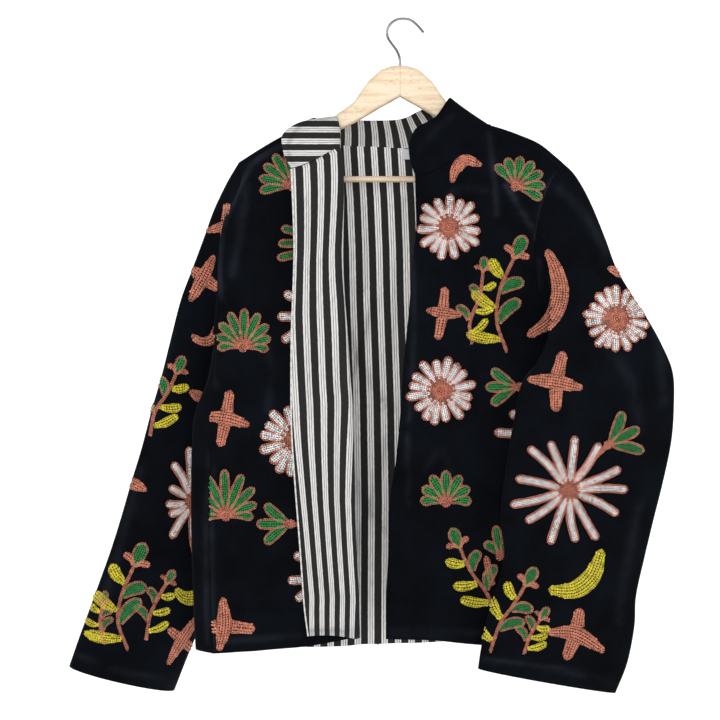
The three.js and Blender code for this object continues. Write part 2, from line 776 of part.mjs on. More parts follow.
// Closed skin through rings of points, with flat ends
function skin(rings) {
  const count = rings[0].length;
  const positions = rings.flat().flatMap((p) => p.toArray());
  const faces = [];
  for (let r = 0; r < rings.length - 1; r++)
    for (let c = 0; c < count; c++) {
      const [a, b] = [r * count + c, r * count + ((c + 1) % count)];
      faces.push(a, b, b + count, a, b + count, a + count);
    }
  const last = (rings.length - 1) * count;
  for (let c = 1; c < count - 1; c++) faces.push(0, c + 1, c, last, last + c, last + c + 1);
  const geometry = new THREE.BufferGeometry();
  geometry.setAttribute("position", new THREE.Float32BufferAttribute(positions, 3));
  geometry.setIndex(faces);
  return geometry;
}

// The hanger's board: a rounded section carried from end to end, under the ridges of the shoulders
function boardSolid() {
  const underRidge = (out, ridge) =>
    overRidge(ridge, hangerCentre + out, 0) - liningThick - layerGap / 2 - ridgeClearance;
  const outer = [112, 132, 154, bracket, 192, hangerHalfWidth];
  const middle = board[board.length - 1];
  const endLow = -barDrop - boardEndDrop;
  const half = (side, ridge) => {
    const ends = outer.map((out, i) => {
      const t = clamp((out - middle.out) / (bracket - middle.out), 0, 1);
      const last = i === outer.length - 1;
      return {
        out: side * out,
        top: underRidge(side * out, ridge) - (last ? 2.5 : 0),
        low: THREE.MathUtils.lerp(middle.low, endLow, t) + (last ? 3 : 0),
      };
    });
    return [...board.map((s) => ({ ...s, out: side * s.out })), ...ends];
  };
  const [left, right] = [half(-1, leftRidge), half(1, rightRidge)];
  const stations = [...left.slice(1).reverse(), ...right];
  const turn = 5; // points in each rounded edge
  const rings = stations.map((s) => {
    const ring = [];
    for (let i = 0; i <= turn; i++) {
      const angle = (Math.PI * i) / turn;
      ring.push([boardHalfThick * Math.cos(angle), s.top - boardHalfThick * (1 - Math.sin(angle))]);
    }
    for (let i = 0; i <= turn; i++) {
      const angle = Math.PI * (1 + i / turn);
      ring.push([boardHalfThick * Math.cos(angle), s.low + 0.6 * boardHalfThick * (1 + Math.sin(angle))]);
    }
    return ring.map(([y, z]) => new THREE.Vector3(hangerCentre + s.out, y, z));
  });
  return solid(skin(rings));
}

const barLength = 2 * (hangerHalfWidth - 9);

function rod(radius, length, sides) {
  return new THREE.CylinderGeometry(radius, radius, length, sides);
}

function hangerPieces() {
  const socket = rod(barRadius + socketGap, barLength + 2 * socketGap, 16)
    .rotateZ(Math.PI / 2)
    .translate(hangerCentre, 0, -barDrop);
  const stemHole = rod(wireRadius + socketGap, 40, 16)
    .rotateX(Math.PI / 2)
    .translate(hangerCentre, 0, hookLine[0].z - socketGap + 20);
  const timber = boardSolid().subtract(solid(socket)).subtract(solid(stemHole));
  const bar = rod(barRadius, barLength, 16)
    .rotateZ(Math.PI / 2)
    .translate(hangerCentre, 0, -barDrop);
  const line = evenly(hookLine.map(point), hookSteps);
  const rings = line.map((p, i) => {
    const ahead = line[Math.min(i + 1, hookSteps)].clone().sub(line[Math.max(i - 1, 0)]).normalize();
    const across = new THREE.Vector3(0, 1, 0);
    const outward = new THREE.Vector3().crossVectors(ahead, across);
    return Array.from({ length: wireSides }, (_, k) => {
      const angle = (2 * Math.PI * k) / wireSides;
      return p
        .clone()
        .addScaledVector(across, wireRadius * Math.cos(angle))
        .addScaledVector(outward, wireRadius * Math.sin(angle));
    });
  });
  return { timber: geometryOf(timber), bar, hook: skin(rings) };
}

// The blank tag hangs from the neck seam, inside the back
function tagGeometry(backPiece) {
  const row = backPiece.grid.length - 1;
  const offTag = (c) => Math.abs(backPiece.grid[0][c].x - tag.x) + (backPiece.grid[0][c].y > 0 ? 0 : 999);
  const column = backPiece.grid[0].reduce((best, _, c) => (offTag(c) < offTag(best) ? c : best), 0);
  const hung = backPiece.grid[row][column];
  const under = backPiece.grid[row - 4][column];
  const lean = Math.atan2(under.y - hung.y, hung.z - under.z);
  const clear = layerGap + liningThick + 0.4;
  return new THREE.BoxGeometry(tag.width, tag.thick, tag.height)
    .translate(0, 0, -tag.height / 2 - 1)
    .rotateX(lean)
    .translate(tag.x, hung.y - clear, hung.z);
}

const looks = {
  velvet: { color: 0x0b0c10, roughness: 0.95, metalness: 0 },
  lining: { color: 0x77777a, roughness: 0.85, metalness: 0 },
  timber: { color: 0xe3c79c, roughness: 0.55, metalness: 0 },
  steel: { color: 0xb9bcc0, roughness: 0.25, metalness: 1 },
  tag: { color: 0xdedede, roughness: 0.8, metalness: 0 },
};

const jacket = new THREE.Group();
function add(name, geometry, look) {
  geometry.computeVertexNormals();
  const mesh = new THREE.Mesh(geometry, new THREE.MeshStandardMaterial(looks[look]));
  mesh.name = name;
  jacket.add(mesh);
}

const shell = makeShell();
addNormals(shell);
const { sleeve_left: leftTube, ...wholePieces } = shell;
const velvetPieces = { ...wholePieces };
["upper", "middle", "lower"].forEach((part, i) => {
  velvetPieces[`sleeve_left_${part}`] = lengthOf(leftTube, sleeveJoins[i], sleeveJoins[i + 1]);
});
const halfGap = (name) => (name === "collar" ? collarGap : layerGap) / 2;
for (const [name, piece] of Object.entries(velvetPieces)) {
  add(name, wall(piece, halfGap(name), halfGap(name) + velvetThick, seamGap / 2), "velvet");
}
for (const name of ["front_left", "front_right", "back", "collar"]) {
  const geometry = wall(shell[name], -halfGap(name) - liningThick, -halfGap(name), seamGap / 2);
  add(`${name}_lining`, geometry, "lining");
}
const hanger = hangerPieces();
add("hanger_board", hanger.timber, "timber");
add("hanger_bar", hanger.bar, "timber");
add("hanger_hook", hanger.hook, "steel");
add("neck_tag", tagGeometry(shell.back), "tag");

export default jacket;
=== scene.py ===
# A lined velvet jacket on its hanger, its left front turned back over its own lining.
# Left and right are those of someone who looks at the jacket. Tables are in millimetres, as in the
# solids: +Z up, -Y towards the viewer, and the origin inside the hook's crown.
import math
import bpy
import numpy as np
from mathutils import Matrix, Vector


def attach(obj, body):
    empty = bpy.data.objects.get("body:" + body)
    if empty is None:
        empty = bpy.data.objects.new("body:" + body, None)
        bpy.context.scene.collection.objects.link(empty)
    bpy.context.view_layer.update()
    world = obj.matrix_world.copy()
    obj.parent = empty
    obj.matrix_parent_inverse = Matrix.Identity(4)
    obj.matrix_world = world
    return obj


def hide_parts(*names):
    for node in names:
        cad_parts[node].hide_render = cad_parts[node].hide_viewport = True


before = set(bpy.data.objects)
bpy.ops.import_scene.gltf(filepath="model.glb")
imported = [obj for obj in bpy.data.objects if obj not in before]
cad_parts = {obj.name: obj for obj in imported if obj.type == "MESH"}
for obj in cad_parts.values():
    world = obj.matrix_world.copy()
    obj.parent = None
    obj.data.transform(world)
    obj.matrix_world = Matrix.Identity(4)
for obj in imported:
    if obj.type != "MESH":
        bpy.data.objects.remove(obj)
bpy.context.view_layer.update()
print("frame loaded")

# the camera looks straight along +Y; a pixel is 1.3 mm in the hanger's plane
cameraPlace = {"x": -57.2, "z": -442.0, "distance": 1600.0, "mmPerPixel": 1.3, "pixels": 720,
               "near": 0.05, "far": 30}
camera = bpy.data.objects.new("camera", bpy.data.cameras.new("camera"))
bpy.context.scene.collection.objects.link(camera)
camera.location = (cameraPlace["x"] / 1000, -cameraPlace["distance"] / 1000,
                   cameraPlace["z"] / 1000)
camera.rotation_euler = (math.radians(90), 0, 0)
camera.data.lens = camera.data.sensor_width * cameraPlace["distance"] / (
    cameraPlace["mmPerPixel"] * cameraPlace["pixels"])
camera.data.clip_start, camera.data.clip_end = cameraPlace["near"], cameraPlace["far"]
bpy.context.scene.camera = camera


def toPixels(points):
    # where points in mm fall in the picture: offsets from the axis, over the depth, times the focal
    # length
    depth = cameraPlace["distance"] + points[..., 1]
    scale = cameraPlace["distance"] / cameraPlace["mmPerPixel"] / depth
    half = cameraPlace["pixels"] / 2
    return np.stack([half + (points[..., 0] - cameraPlace["x"]) * scale,
                     half - (points[..., 2] - cameraPlace["z"]) * scale], -1)


# the garment's curves: how many cells each stretch has in the solids, and how many times closer the
# cloth's points lie here
finer = 6
counts = {"below": 9, "above": 7, "strip": 4, "fold": 3, "neckLeft": 3, "neckBack": 13,
          "neckRight": 4, "shoulder": 6, "collarRows": 5}
shape = {"foldRound": 4.6, "chest": 7.0, "blade": 6.0, "seamAngle": math.radians(18),
         "foldDepth": 9.5, "sideRound": 34.0, "neckDrop": 7.0, "topHalf": 4.6, "topDrop": 1.2,
         "sideHalf": 9.2, "sideDrop": 8.4, "backFlat": 2, "frontFlat": 1.5, "stripHemDip": 2.5,
         "turnIn": 0.4, "turnDepth": 0.72, "turnOut": 1.5, "backMiddle": (0.36, 0.64, 1)}
curveSteps = 24  # fine steps between two points of a curve, for its length
# thickness of the walls, the gap between velvet and lining, and what is drawn in at a seam
cloth = {"velvet": 1.3, "lining": 0.8, "gap": 0.3, "collarGap": 0.66, "seam": 0.06}
# rows of collarSections: where the turned-out end folds, and where the neck's back starts and ends
foldSection, leftNeckPoint, rightNeckPoint = 4, 7, 20

collarSections = np.array([  # seamX seamY seamZ midX midY midZ freeX freeY freeZ
    [-144.9, -36, -198, -152.9, -37, -183, -156.8, -36, -166.5],
    [-132.2, -37, -194.8, -145.2, -38, -176, -155.3, -35, -155],
    [-114.3, -37, -187.5, -128.5, -37.5, -164.5, -141.7, -32, -143],
    [-99, -36.5, -179, -110.5, -35.5, -156, -121, -29, -135.4],
    [-88.8, -35.5, -173.6, -88.3, -32, -151, -88.6, -25.5, -130.6],
    [-86, -26, -170.9, -87, -19.5, -150, -88.2, -16, -130.5],
    [-96, -18, -159, -97.5, -15.5, -144, -105, -14.5, -131.5],
    [-109, -9.2, -143, -112.5, -9.2, -133.5, -129, -11, -137.5],
    [-114, -4.6, -135, -117, -4.4, -129, -139, -5, -138.5],
    [-115, 4.6, -135.4, -118, 8, -129, -140, 12, -137.5],
    [-110, 10, -142, -114, 19, -131.5, -132, 28, -131],
    [-99, 18, -151, -101, 31, -136, -111, 43, -122],
    [-78, 24, -159.3, -78, 37, -139.5, -80, 52, -120.5],
    [-37.4, 27, -160.4, -38, 42, -141, -40, 56, -120.5],
    [7.5, 26, -162.6, 3.5, 41, -141, -2, 53, -119],
    [50, 23, -157.5, 38, 34, -134, 23, 41, -109.5],
    [85, 17, -150, 66, 22, -127, 45, 25, -104],
    [100, 9.2, -142.5, 81, 12.5, -123.5, 57, 13.5, -104.5],
    [106, 4.6, -136.4, 84, 5, -121.5, 59.5, 5, -103.5],
    [106, -5.2, -137, 84, -5.4, -122, 59.5, -4.5, -104],
    [101.5, -10.3, -144.4, 80, -13, -126.5, 56, -11, -106],
    [85.2, -18, -165.1, 64, -25, -147, 41, -23, -129],
    [66.6, -24, -181.7, 48, -30, -161, 30, -31, -137.5],
    [33, -25, -201.2, 22, -31, -175, 13, -33, -148],
    [13.2, -24, -205.1, 6.5, -29, -187, 4.5, -31, -168],
])
rightRidge = np.array([  # x z
    [106.6, -135.2],
    [128, -143],
    [149.5, -150.8],
    [175.5, -162.5],
    [202.8, -184.6],
])
leftRidge = np.array([  # x z
    [-115, -134],
    [-137, -143.2],
    [-159.9, -153.4],
    [-184.6, -167.7],
    [-213.2, -185.9],
])
besideNeck = np.array([  # frontX frontY backX backY topX topY
    [-8.5, 4.6, -11, 13.8, -12, 18.4],
    [-2.5, 3.1, -4.5, 9.6, -5.5, 14.6],
    [-2, 1.2, -3, 3.4, -3.5, 6.9],
    [-1.7, 1.3, -3.3, 2.7, -5, 4],
    [-1, 1, -2, 2, -3, 3],
    [0, 0.7, 0, 1.3, 0, 2],
])
rightArmholeFront = np.array([  # x y z
    [201.5, -9.2, -193],
    [189, -15, -212],
    [178, -19, -238],
    [170, -21, -274],
    [167, -21, -316],
    [179, -19, -366],
    [229, -6, -412],
])
rightArmholeBack = np.array([  # x y z
    [229, -6, -412],
    [214, 15, -372],
    [204, 20, -316],
    [201, 20, -262],
    [203, 15, -218],
    [203, 9.2, -193.5],
])
leftArmholeFront = np.array([  # x y z
    [-212, -9.2, -194.5],
    [-210, -15, -212],
    [-219.3, -19, -238],
    [-232.4, -22, -270],
    [-238, -23, -322.8],
    [-238.2, -20, -357.3],
    [-236, -16, -383],
    [-242, -4, -410],
])
leftArmholeBack = np.array([  # x y z
    [-242, -4, -410],
    [-234, 15, -372],
    [-222, 20, -316],
    [-214, 20, -262],
    [-213, 15, -218],
    [-213.5, 9.2, -194.5],
])
leftSide = np.array([  # seamX seamY seamZ sideX sideY backY
    [-242, -4, -410, -243.5, 4, 24],
    [-245.3, -14, -467.8, -254, 2, 27],
    [-248.5, -20, -519, -272, 0, 29],
    [-249.3, -24, -621.3, -275.5, 0, 31],
    [-246.5, -26, -748.9, -272.5, 2, 33],
    [-243.8, -27, -817, -269.8, 3, 34],
])
rightSide = np.array([  # seamX seamY seamZ sideX sideY backY
    [226, -6, -412, 228, 4, 24],
    [229, -14, -468, 240, 2, 27],
    [231, -18, -520, 252, 0, 29],
    [231, -20, -622, 256, 0, 31],
    [228, -21, -750, 252, 2, 33],
    [226, -22, -817, 249, 3, 34],
])
rightFrontEdge = np.array([  # x y z
    [-24.1, -34, -797],
    [-24.1, -34, -747.4],
    [-21.6, -34, -692.7],
    [-19, -33, -620.2],
    [-11.4, -33, -569.3],
    [-5, -32, -499.3],
    [-1.1, -31, -442],
    [5.3, -30, -378.2],
    [9.2, -29, -327.1],
    [14.3, -28, -276],
    [13.8, -26, -237.4],
    [13.2, -24, -205.1],
])
foldLine = np.array([  # x y z
    [-62.3, -34, -794.4],
    [-64.2, -34, -730.8],
    [-67.4, -33, -668.6],
    [-69.9, -33, -579.5],
    [-71.2, -32, -504.4],
    [-74.4, -32, -464.9],
    [-78.2, -32, -403.8],
    [-81.4, -31, -365.5],
    [-83.3, -31, -328.5],
    [-83.4, -30, -280],
    [-82.7, -29, -242.9],
    [-83.1, -28, -207],
    [-86, -26, -170.9],
])
stripEdge = np.array([  # x y z
    [-121.9, -46, -790.4],
    [-126.4, -46, -755.5],
    [-129.9, -46, -709.8],
    [-133.3, -46, -662.8],
    [-137.9, -45, -605.7],
    [-142.6, -45, -535.9],
    [-143.5, -44, -467.4],
    [-142.9, -43, -402.7],
    [-141, -42, -353.1],
    [-139.8, -40, -304.8],
    [-141.1, -38, -256.4],
    [-143.8, -36, -198.8],
])
leftHem = np.array([  # x y z
    [-62.3, -34, -794.4],
    [-95.4, -33, -801.3],
    [-136.2, -32, -807.9],
    [-192.4, -31, -813.2],
    [-243.8, -27, -817],
])
rightHem = np.array([  # x y z
    [-24.1, -34, -797],
    [6.5, -33, -798],
    [43.5, -31, -800.2],
    [96.1, -28, -806],
    [160.3, -25, -811],
    [226, -22, -817],
])
backHem = np.array([  # x z
    [-269.8, -822],
    [-197.4, -826],
    [-142, -824],
    [-100.9, -822.5],
    [-47.9, -820.6],
    [20.9, -817.5],
    [62, -816],
    [128, -816.5],
    [249, -818],
])
frontFolds = np.array([  # topX topZ lowX lowZ width depth
    [-176, -330, -168, -800, 30, 4],
    [-205, -300, -214, -560, 16, 4],
    [62, -260, 34, -790, 34, 4],
    [118, -230, 100, -700, 22, 3],
])
backFolds = np.array([  # topX topZ lowX lowZ width depth
    [-72, -220, -52, -820, 18, 7],
    [-20, -260, -14, -820, 24, 5],
    [60, -240, 70, -820, 30, 6],
    [150, -260, 160, -820, 34, 5],
    [-160, -260, -150, -820, 34, 5],
])
rightSleeve = np.array([  # outX outY outZ inX inY inZ front back bow
    [221, -4, -204, 226, -18, -408, 19, 17, 46],
    [239, -8, -237.6, 207, -38, -424, 18, 17, 36],
    [258, -12, -285.9, 182, -54, -438, 17, 15, 24],
    [271, -16, -323.6, 162, -60, -452, 16, 14, 12],
    [291, -20, -359.7, 148, -62, -468, 15, 13, 4],
    [311, -23, -391.9, 141, -62, -492, 15, 12, 0],
    [327.4, -25, -422.8, 136, -62, -520, 15, 12, 0],
    [341, -27, -458, 131, -62, -548, 15, 12, 0],
    [342, -29, -500, 125.7, -61, -585, 14, 12, 0],
    [338.5, -30, -545, 121.5, -60, -622, 14, 12, 0],
    [328, -32, -594, 120.7, -60, -652, 14, 12, 0],
    [315, -33, -645, 125, -58, -683, 14, 12, 0],
    [303, -34, -694, 118.4, -58, -718, 13, 12, 0],
    [292.3, -35, -741.9, 108.4, -57, -749, 13, 11, 0],
    [290, -36, -780, 100.5, -57, -779, 13, 11, 0],
    [281, -36, -826, 95.5, -56, -806, 13, 11, 0],
    [266, -36, -864, 92.1, -56, -829, 13, 11, 0],
])
leftSleeve = np.array([  # outX outY outZ inX inY inZ front back bow
    [-229, 3, -211.6, -248, 9, -408, 18, 18, -5],
    [-246.2, 6, -246.5, -238, 34, -424, 18, 20, 0],
    [-259.7, 9, -282.6, -233, 52, -438, 19, 22, 0],
    [-276, 12, -325, -229, 64, -458, 20, 24, 0],
    [-290.6, 14, -363.3, -227, 72, -482, 21, 25, 0],
    [-304, 16, -414, -225, 77, -512, 22, 25, 0],
    [-316, 18, -461, -224, 80, -545, 23, 25, 0],
    [-330, 19, -509, -224, 82, -580, 24, 25, 0],
    [-343, 20, -558, -226, 83, -618, 24, 25, 0],
    [-357, 20, -604, -231, 82, -656, 24, 25, 0],
    [-370, 20, -649, -238, 80, -693, 25, 25, 0],
    [-383.5, 20, -692, -247, 77, -728, 25, 25, 0],
    [-398, 19, -733, -259, 72, -762, 25, 25, 0],
    [-412, 18, -772, -272, 66, -795, 26, 25, 0],
    [-425, 17, -808, -289, 60, -836, 26, 25, 0],
    [-437, 16, -843, -308, 56, -885, 26, 24, 0],
])


def onCurve(points, at):
    # a Catmull-Rom curve through the points at parameters at, carried straight on past both ends
    points = np.asarray(points, float)
    at = np.asarray(at, float)
    padded = np.concatenate([2 * points[:1] - points[1:2], points, 2 * points[-1:] - points[-2:-1]])
    i = np.clip(np.floor(at).astype(int), 0, len(points) - 2)
    t = (at - i).reshape((-1,) + (1,) * (points.ndim - 1))
    a, b, c, d = (padded[i + k] for k in range(4))
    return 0.5 * (2 * b + (c - a) * t + (2 * a - 5 * b + 4 * c - d) * t**2
                  + (3 * b - a - 3 * c + d) * t**3)


def evenly(points, count):
    # the same curve in even steps of its own length
    points = np.asarray(points, float)
    dense = onCurve(points, np.linspace(0, len(points) - 1, curveSteps * (len(points) - 1) + 1))
    run = np.concatenate([[0], np.cumsum(np.linalg.norm(np.diff(dense, axis=0), axis=1))])
    goal = np.linspace(0, run[-1], count + 1)
    return np.stack([np.interp(goal, run, dense[:, k]) for k in range(3)], 1)


def patch(low, high, left, right):
    # between four edges: the mix of low and high, plus what each side edge departs from that mix,
    # where depth dies away with the third power of the distance
    u = np.linspace(0, 1, len(low))[None, :, None]
    v = np.linspace(0, 1, len(left))[:, None]
    fade = np.concatenate([1 - u, (1 - u) ** 3, 1 - u], 2)
    rise = np.concatenate([u, u**3, u], 2)
    fromLeft = left - (low[0] * (1 - v) + high[0] * v)
    fromRight = right - (low[-1] * (1 - v) + high[-1] * v)
    base = low[None] * (1 - v[:, :, None]) + high[None] * v[:, :, None]
    return base + fade * fromLeft[:, None] + rise * fromRight[:, None]


def smooth(low, high, x):
    # a soft step: 3 t squared less 2 t cubed, for the share t of the way from low to high
    t = np.clip((x - low) / (high - low), 0, 1)
    return t * t * (3 - 2 * t)


def foldsAt(folds, x, z):
    # soft troughs: a Gaussian across each fold's line, let in over its first third
    depth = np.zeros_like(x)
    for topX, topZ, lowX, lowZ, width, deep in folds:
        t = np.clip((topZ - z) / (topZ - lowZ), 0, 1)
        across = (x - topX - (lowX - topX) * t) / width
        depth += deep * np.exp(-(across ** 2)) * smooth(0, 0.35, t)
    return depth


def spans(*pieces):
    # runs of evenly spaced numbers, each starting where the last ended
    out = [np.linspace(a, b, n + 1) for a, b, n in pieces]
    return np.concatenate([out[0]] + [x[1:] for x in out[1:]])


def collarSection(at):
    # seam, middle and free edge of the collar's section; straight across the turn, which stands out
    # by a sine
    parts = collarSections.reshape(-1, 3, 3)
    found = onCurve(parts, at)
    t = at - foldSection
    across = parts[foldSection] + (parts[foldSection + 1] - parts[foldSection]) * t[:, None, None]
    across[:, :, 0] += shape["foldRound"] * np.sin(np.pi * np.clip(t, 0, 1))[:, None] * [1, 1, 0.4]
    inTurn = (t > 0) & (t < 1)
    return np.where(inTurn[:, None, None], across, found)


def overRidge(ridge, x, y):
    # height of the cloth over a shoulder's ridge: the ridge less a drop that grows with the depth y
    line = ridge[np.argsort(ridge[:, 0])]
    i = np.clip(np.searchsorted(line[:, 0], x, side="right"), 1, len(line) - 1)
    a, b = line[i - 1], line[i]
    z = a[..., 1] + (b[..., 1] - a[..., 1]) * (x - a[..., 0]) / (b[..., 0] - a[..., 0])
    t = np.clip((abs(y) - shape["topHalf"]) / (shape["sideHalf"] - shape["topHalf"]), 0, 1)
    return z - shape["topDrop"] - (shape["sideDrop"] - shape["topDrop"]) * t


def makeShell():
    # the middle surface of every piece, as grids of rows by columns that share their seams
    k = finer
    n = {name: count * k for name, count in counts.items()}
    sections = collarSection(spans(
        (0, foldSection, n["strip"]), (foldSection, foldSection + 1, n["fold"]),
        (foldSection + 1, leftNeckPoint, n["neckLeft"]),
        (leftNeckPoint, rightNeckPoint, n["neckBack"]),
        (rightNeckPoint, len(collarSections) - 1, n["neckRight"])))
    neckline = sections[:, 0]
    foldEnd = n["strip"] + n["fold"]
    leftNeck = foldEnd + n["neckLeft"]
    rightNeck = leftNeck + n["neckBack"]
    shell = {}
    collar = onCurve(sections.swapaxes(0, 1), np.linspace(0, 2, n["collarRows"] + 1))

    # the back's rows over the ridges, beside the neckline
    backNeck = neckline[leftNeck:rightNeck + 1]
    i = np.arange(n["neckBack"] + 1)
    isLeft = i <= n["neckBack"] / 2
    fromSide = np.minimum(i, n["neckBack"] - i) / k
    inward = np.where(isLeft, 1, -1)
    onRidgeShare = np.clip(3 - fromSide, 0, 1)

    def beside(part, share):
        # a row beside the neckline: on the ridge at its ends, lower by a share of neckDrop between
        dx, dy = (np.interp(fromSide, np.arange(6), besideNeck[:, 2 * part + c]) for c in (0, 1))
        q = backNeck + np.stack([inward * dx, dy, 0 * dx], 1)
        ridge = np.where(isLeft, *(overRidge(r, q[:, 0], q[:, 1]) for r in (leftRidge, rightRidge)))
        ridge = ridge - np.maximum(0, q[:, 1] - shape["sideHalf"])
        q[:, 2] = onRidgeShare * ridge + (1 - onRidgeShare) * (q[:, 2] - shape["neckDrop"] * share)
        return q

    neckRows = {"seam": backNeck, "front": beside(0, 1 / 3), "back": beside(1, 2 / 3),
                "top": beside(2, 1)}
    holes = {}
    for side, front, back, ridge, at in (
            ("left", leftArmholeFront, leftArmholeBack, leftRidge, 0),
            ("right", rightArmholeFront, rightArmholeBack, rightRidge, -1)):
        frontPoints, backPoints = evenly(front, n["above"]), evenly(back, n["above"])
        tipBack, tipFront = (np.array([ridge[-1, 0], y, ridge[-1, 1] - shape["topDrop"]])
                             for y in (shape["topHalf"], -shape["topHalf"]))
        depths = {"seam": (-shape["sideHalf"], frontPoints[0]),
                  "front": (-shape["topHalf"], tipFront), "back": (shape["topHalf"], tipBack),
                  "top": (shape["sideHalf"], backPoints[-1])}
        lines = {}
        for name, (y, end) in depths.items():
            x = ridge[1:-1, 0]
            inner = np.stack([x, y + 0 * x, overRidge(ridge, x, y)], 1)
            lines[name] = evenly(np.vstack([neckRows[name][at], inner, end]), n["shoulder"])
        tips = onCurve(np.array([backPoints[-1], tipBack, tipFront, frontPoints[0]]),
                       np.linspace(0, 3, 3 * k + 1))[1:-1]
        holes[side] = {"front": frontPoints, "back": backPoints, "lines": lines, "tips": tips}
    left, right = holes["left"], holes["right"]

    def acrossShoulders(part):
        # one row from armhole to armhole, over both ridges and round the neck
        return np.vstack([left["lines"][part][:0:-1], neckRows[part], right["lines"][part][1:]])

    # the back below the armpits: each section from side seam to side seam
    sides = {}
    for side, rows in (("left", leftSide), ("right", rightSide)):
        sides[side] = [evenly(rows[:, cols], n["below"])[::-1] for cols in ([0, 1, 2], [3, 4, 2])]
    backDepths = np.stack([0 * leftSide[:, 5], leftSide[:, 5], leftSide[:, 2]], 1)
    depths = evenly(backDepths, n["below"])[::-1, 1]
    columns = n["neckBack"] + 2 * n["shoulder"]
    away = np.arange(columns + 1)
    lower = []
    for r in range(n["below"] + 1):
        a, b = sides["left"][1][r], sides["right"][1][r]
        z, y, wide, soft = (a[2] + b[2]) / 2, depths[r], b[0] - a[0], shape["sideRound"]
        near, far, deep = soft * shape["turnIn"], soft * shape["turnOut"], y * shape["turnDepth"]
        first, second, out = shape["backMiddle"]
        row = evenly([sides["left"][0][r], a, (a[0] + near, deep, z), (a[0] + far, y, z),
                      (a[0] + wide * first, y + out, z), (a[0] + wide * second, y + out, z),
                      (b[0] - far, y, z), (b[0] - near, deep, z), b, sides["right"][0][r]], columns)
        inner = np.minimum(1, 4 * np.minimum(away, columns - away) / columns)
        hem = np.interp(row[:, 0], backHem[:, 0], backHem[:, 1])
        row[:, 2] += (hem - z) * (1 - r / n["below"]) ** 3 * inner
        lower.append(row)
    lower = np.array(lower)
    upper = patch(lower[-1], acrossShoulders("top"), left["back"], right["back"])
    main = np.concatenate([lower, upper[1:]])
    u = np.linspace(0, 1, columns + 1)[None]
    v = np.linspace(0, 1, len(main))[:, None]
    arch = np.sin(np.pi * u).clip(0)
    hemShare = np.where(v < 0.5, 1, np.sin(np.pi * v).clip(0))
    folds = foldsAt(backFolds, main[..., 0], main[..., 2]) - shape["backFlat"]
    main[..., 1] += arch**0.5 * hemShare * folds + shape["blade"] * arch * np.sin(np.pi * v)
    ridgeRows = np.array([main[-1]] + [acrossShoulders(part) for part in ("back", "front", "seam")])
    ridgeRows = onCurve(ridgeRows, np.linspace(0, 3, 3 * k + 1))
    back = np.concatenate([main, ridgeRows[1:]])

    # the fronts, from the centre edge or the fold to the side
    rows = n["below"] + n["above"]

    def frontPanel(low, high, edge, side):
        # a patch between its edges, with its folds, and an arch that stands out at the chest
        sideLine = np.vstack([sides[side][0], holes[side]["front"][-2::-1]])
        panel = patch(low, high, edge, sideLine)
        u = np.linspace(0, 1, panel.shape[1])[None]
        v = np.linspace(0, 1, panel.shape[0])[:, None]
        arch = np.sin(np.pi * u).clip(0)
        folds = foldsAt(frontFolds, panel[..., 0], panel[..., 2]) - shape["frontFlat"]
        panel[..., 1] += arch * (np.minimum(1, 4 * (1 - v)) * folds
                                 - np.sin(np.pi * v) * shape["chest"])
        return panel

    rightTop = np.vstack([neckline[rightNeck:][::-1], right["lines"]["seam"][1:]])
    frontRight = frontPanel(evenly(rightHem, len(rightTop) - 1), rightTop,
                            evenly(rightFrontEdge, rows), "right")
    leftTop = np.vstack([neckline[foldEnd:leftNeck + 1], left["lines"]["seam"][1:]])
    fold = evenly(foldLine, rows)
    leftMain = frontPanel(evenly(leftHem, len(leftTop) - 1), leftTop, fold, "left")
    stripTop = neckline[:n["strip"] + 1]
    stripFold = fold + [-0.6, -shape["foldDepth"], -0.3]
    stripFold[-1] = stripTop[-1]
    edge = evenly(stripEdge, rows)
    t = np.linspace(0, 1, n["strip"] + 1)[:, None]
    stripLow = (edge[0] * (1 - t) + stripFold[0] * t
                + np.sin(np.pi * t) * [0, 0, shape["stripHemDip"]])
    strip = patch(stripLow, stripTop, edge, stripFold)
    t = np.linspace(0, 1, n["fold"] + 1)[None, 1:-1, None]
    turn = (strip[:, -1:] * (1 - t) + leftMain[:, :1] * t
            + np.sin(np.pi * t) * [shape["foldRound"], 0, 0])
    frontLeft = np.concatenate([strip, turn, leftMain], 1)
    frontLeft[-1, n["strip"]:foldEnd + 1] = neckline[n["strip"]:foldEnd + 1]

    # the sleeves: rings of points that start as the armhole itself
    q, whole = shape["seamAngle"], 2 * np.pi
    angles = np.concatenate([
        spans((q, np.pi, n["above"]), (np.pi, whole - q, n["above"])),
        spans((whole - q, whole - q / 2, k), (whole - q / 2, whole + q / 2, k),
              (whole + q / 2, whole + q, k))[1:-1]])

    def sleeve(sections, hole):
        # each ring runs from its outer point to its inner one and back, by the cosine of the angle,
        # and swells forwards and backwards by a power of its sine
        first = np.vstack([hole["front"], hole["back"][1:], hole["tips"]])
        out, inn = sections[:, None, 0:3], sections[:, None, 3:6]
        front, behind, bow = (sections[:, j, None] for j in (6, 7, 8))
        s = np.sin(angles)[None]
        rings = out + (inn - out) * ((1 - np.cos(angles)) / 2)[None, :, None]
        swell = abs(s) ** 0.85
        rings[..., 1] += np.where(s > 0, -front * swell, behind * swell)
        rings[..., 0] -= np.where(s > 0, bow * swell**2, 0)
        rings = np.concatenate([first[None], rings])
        return onCurve(rings, np.linspace(0, len(rings) - 1, (len(rings) - 1) * k + 1))

    # each grid, whether its faces run the other way round, and whether it closes into a ring
    return {"front_left": (frontLeft, True, False), "front_right": (frontRight, False, False),
            "back": (back, True, False), "sleeve_left": (sleeve(leftSleeve, left), True, True),
            "sleeve_right": (sleeve(rightSleeve, right), False, True),
            "collar": (collar, True, False)}


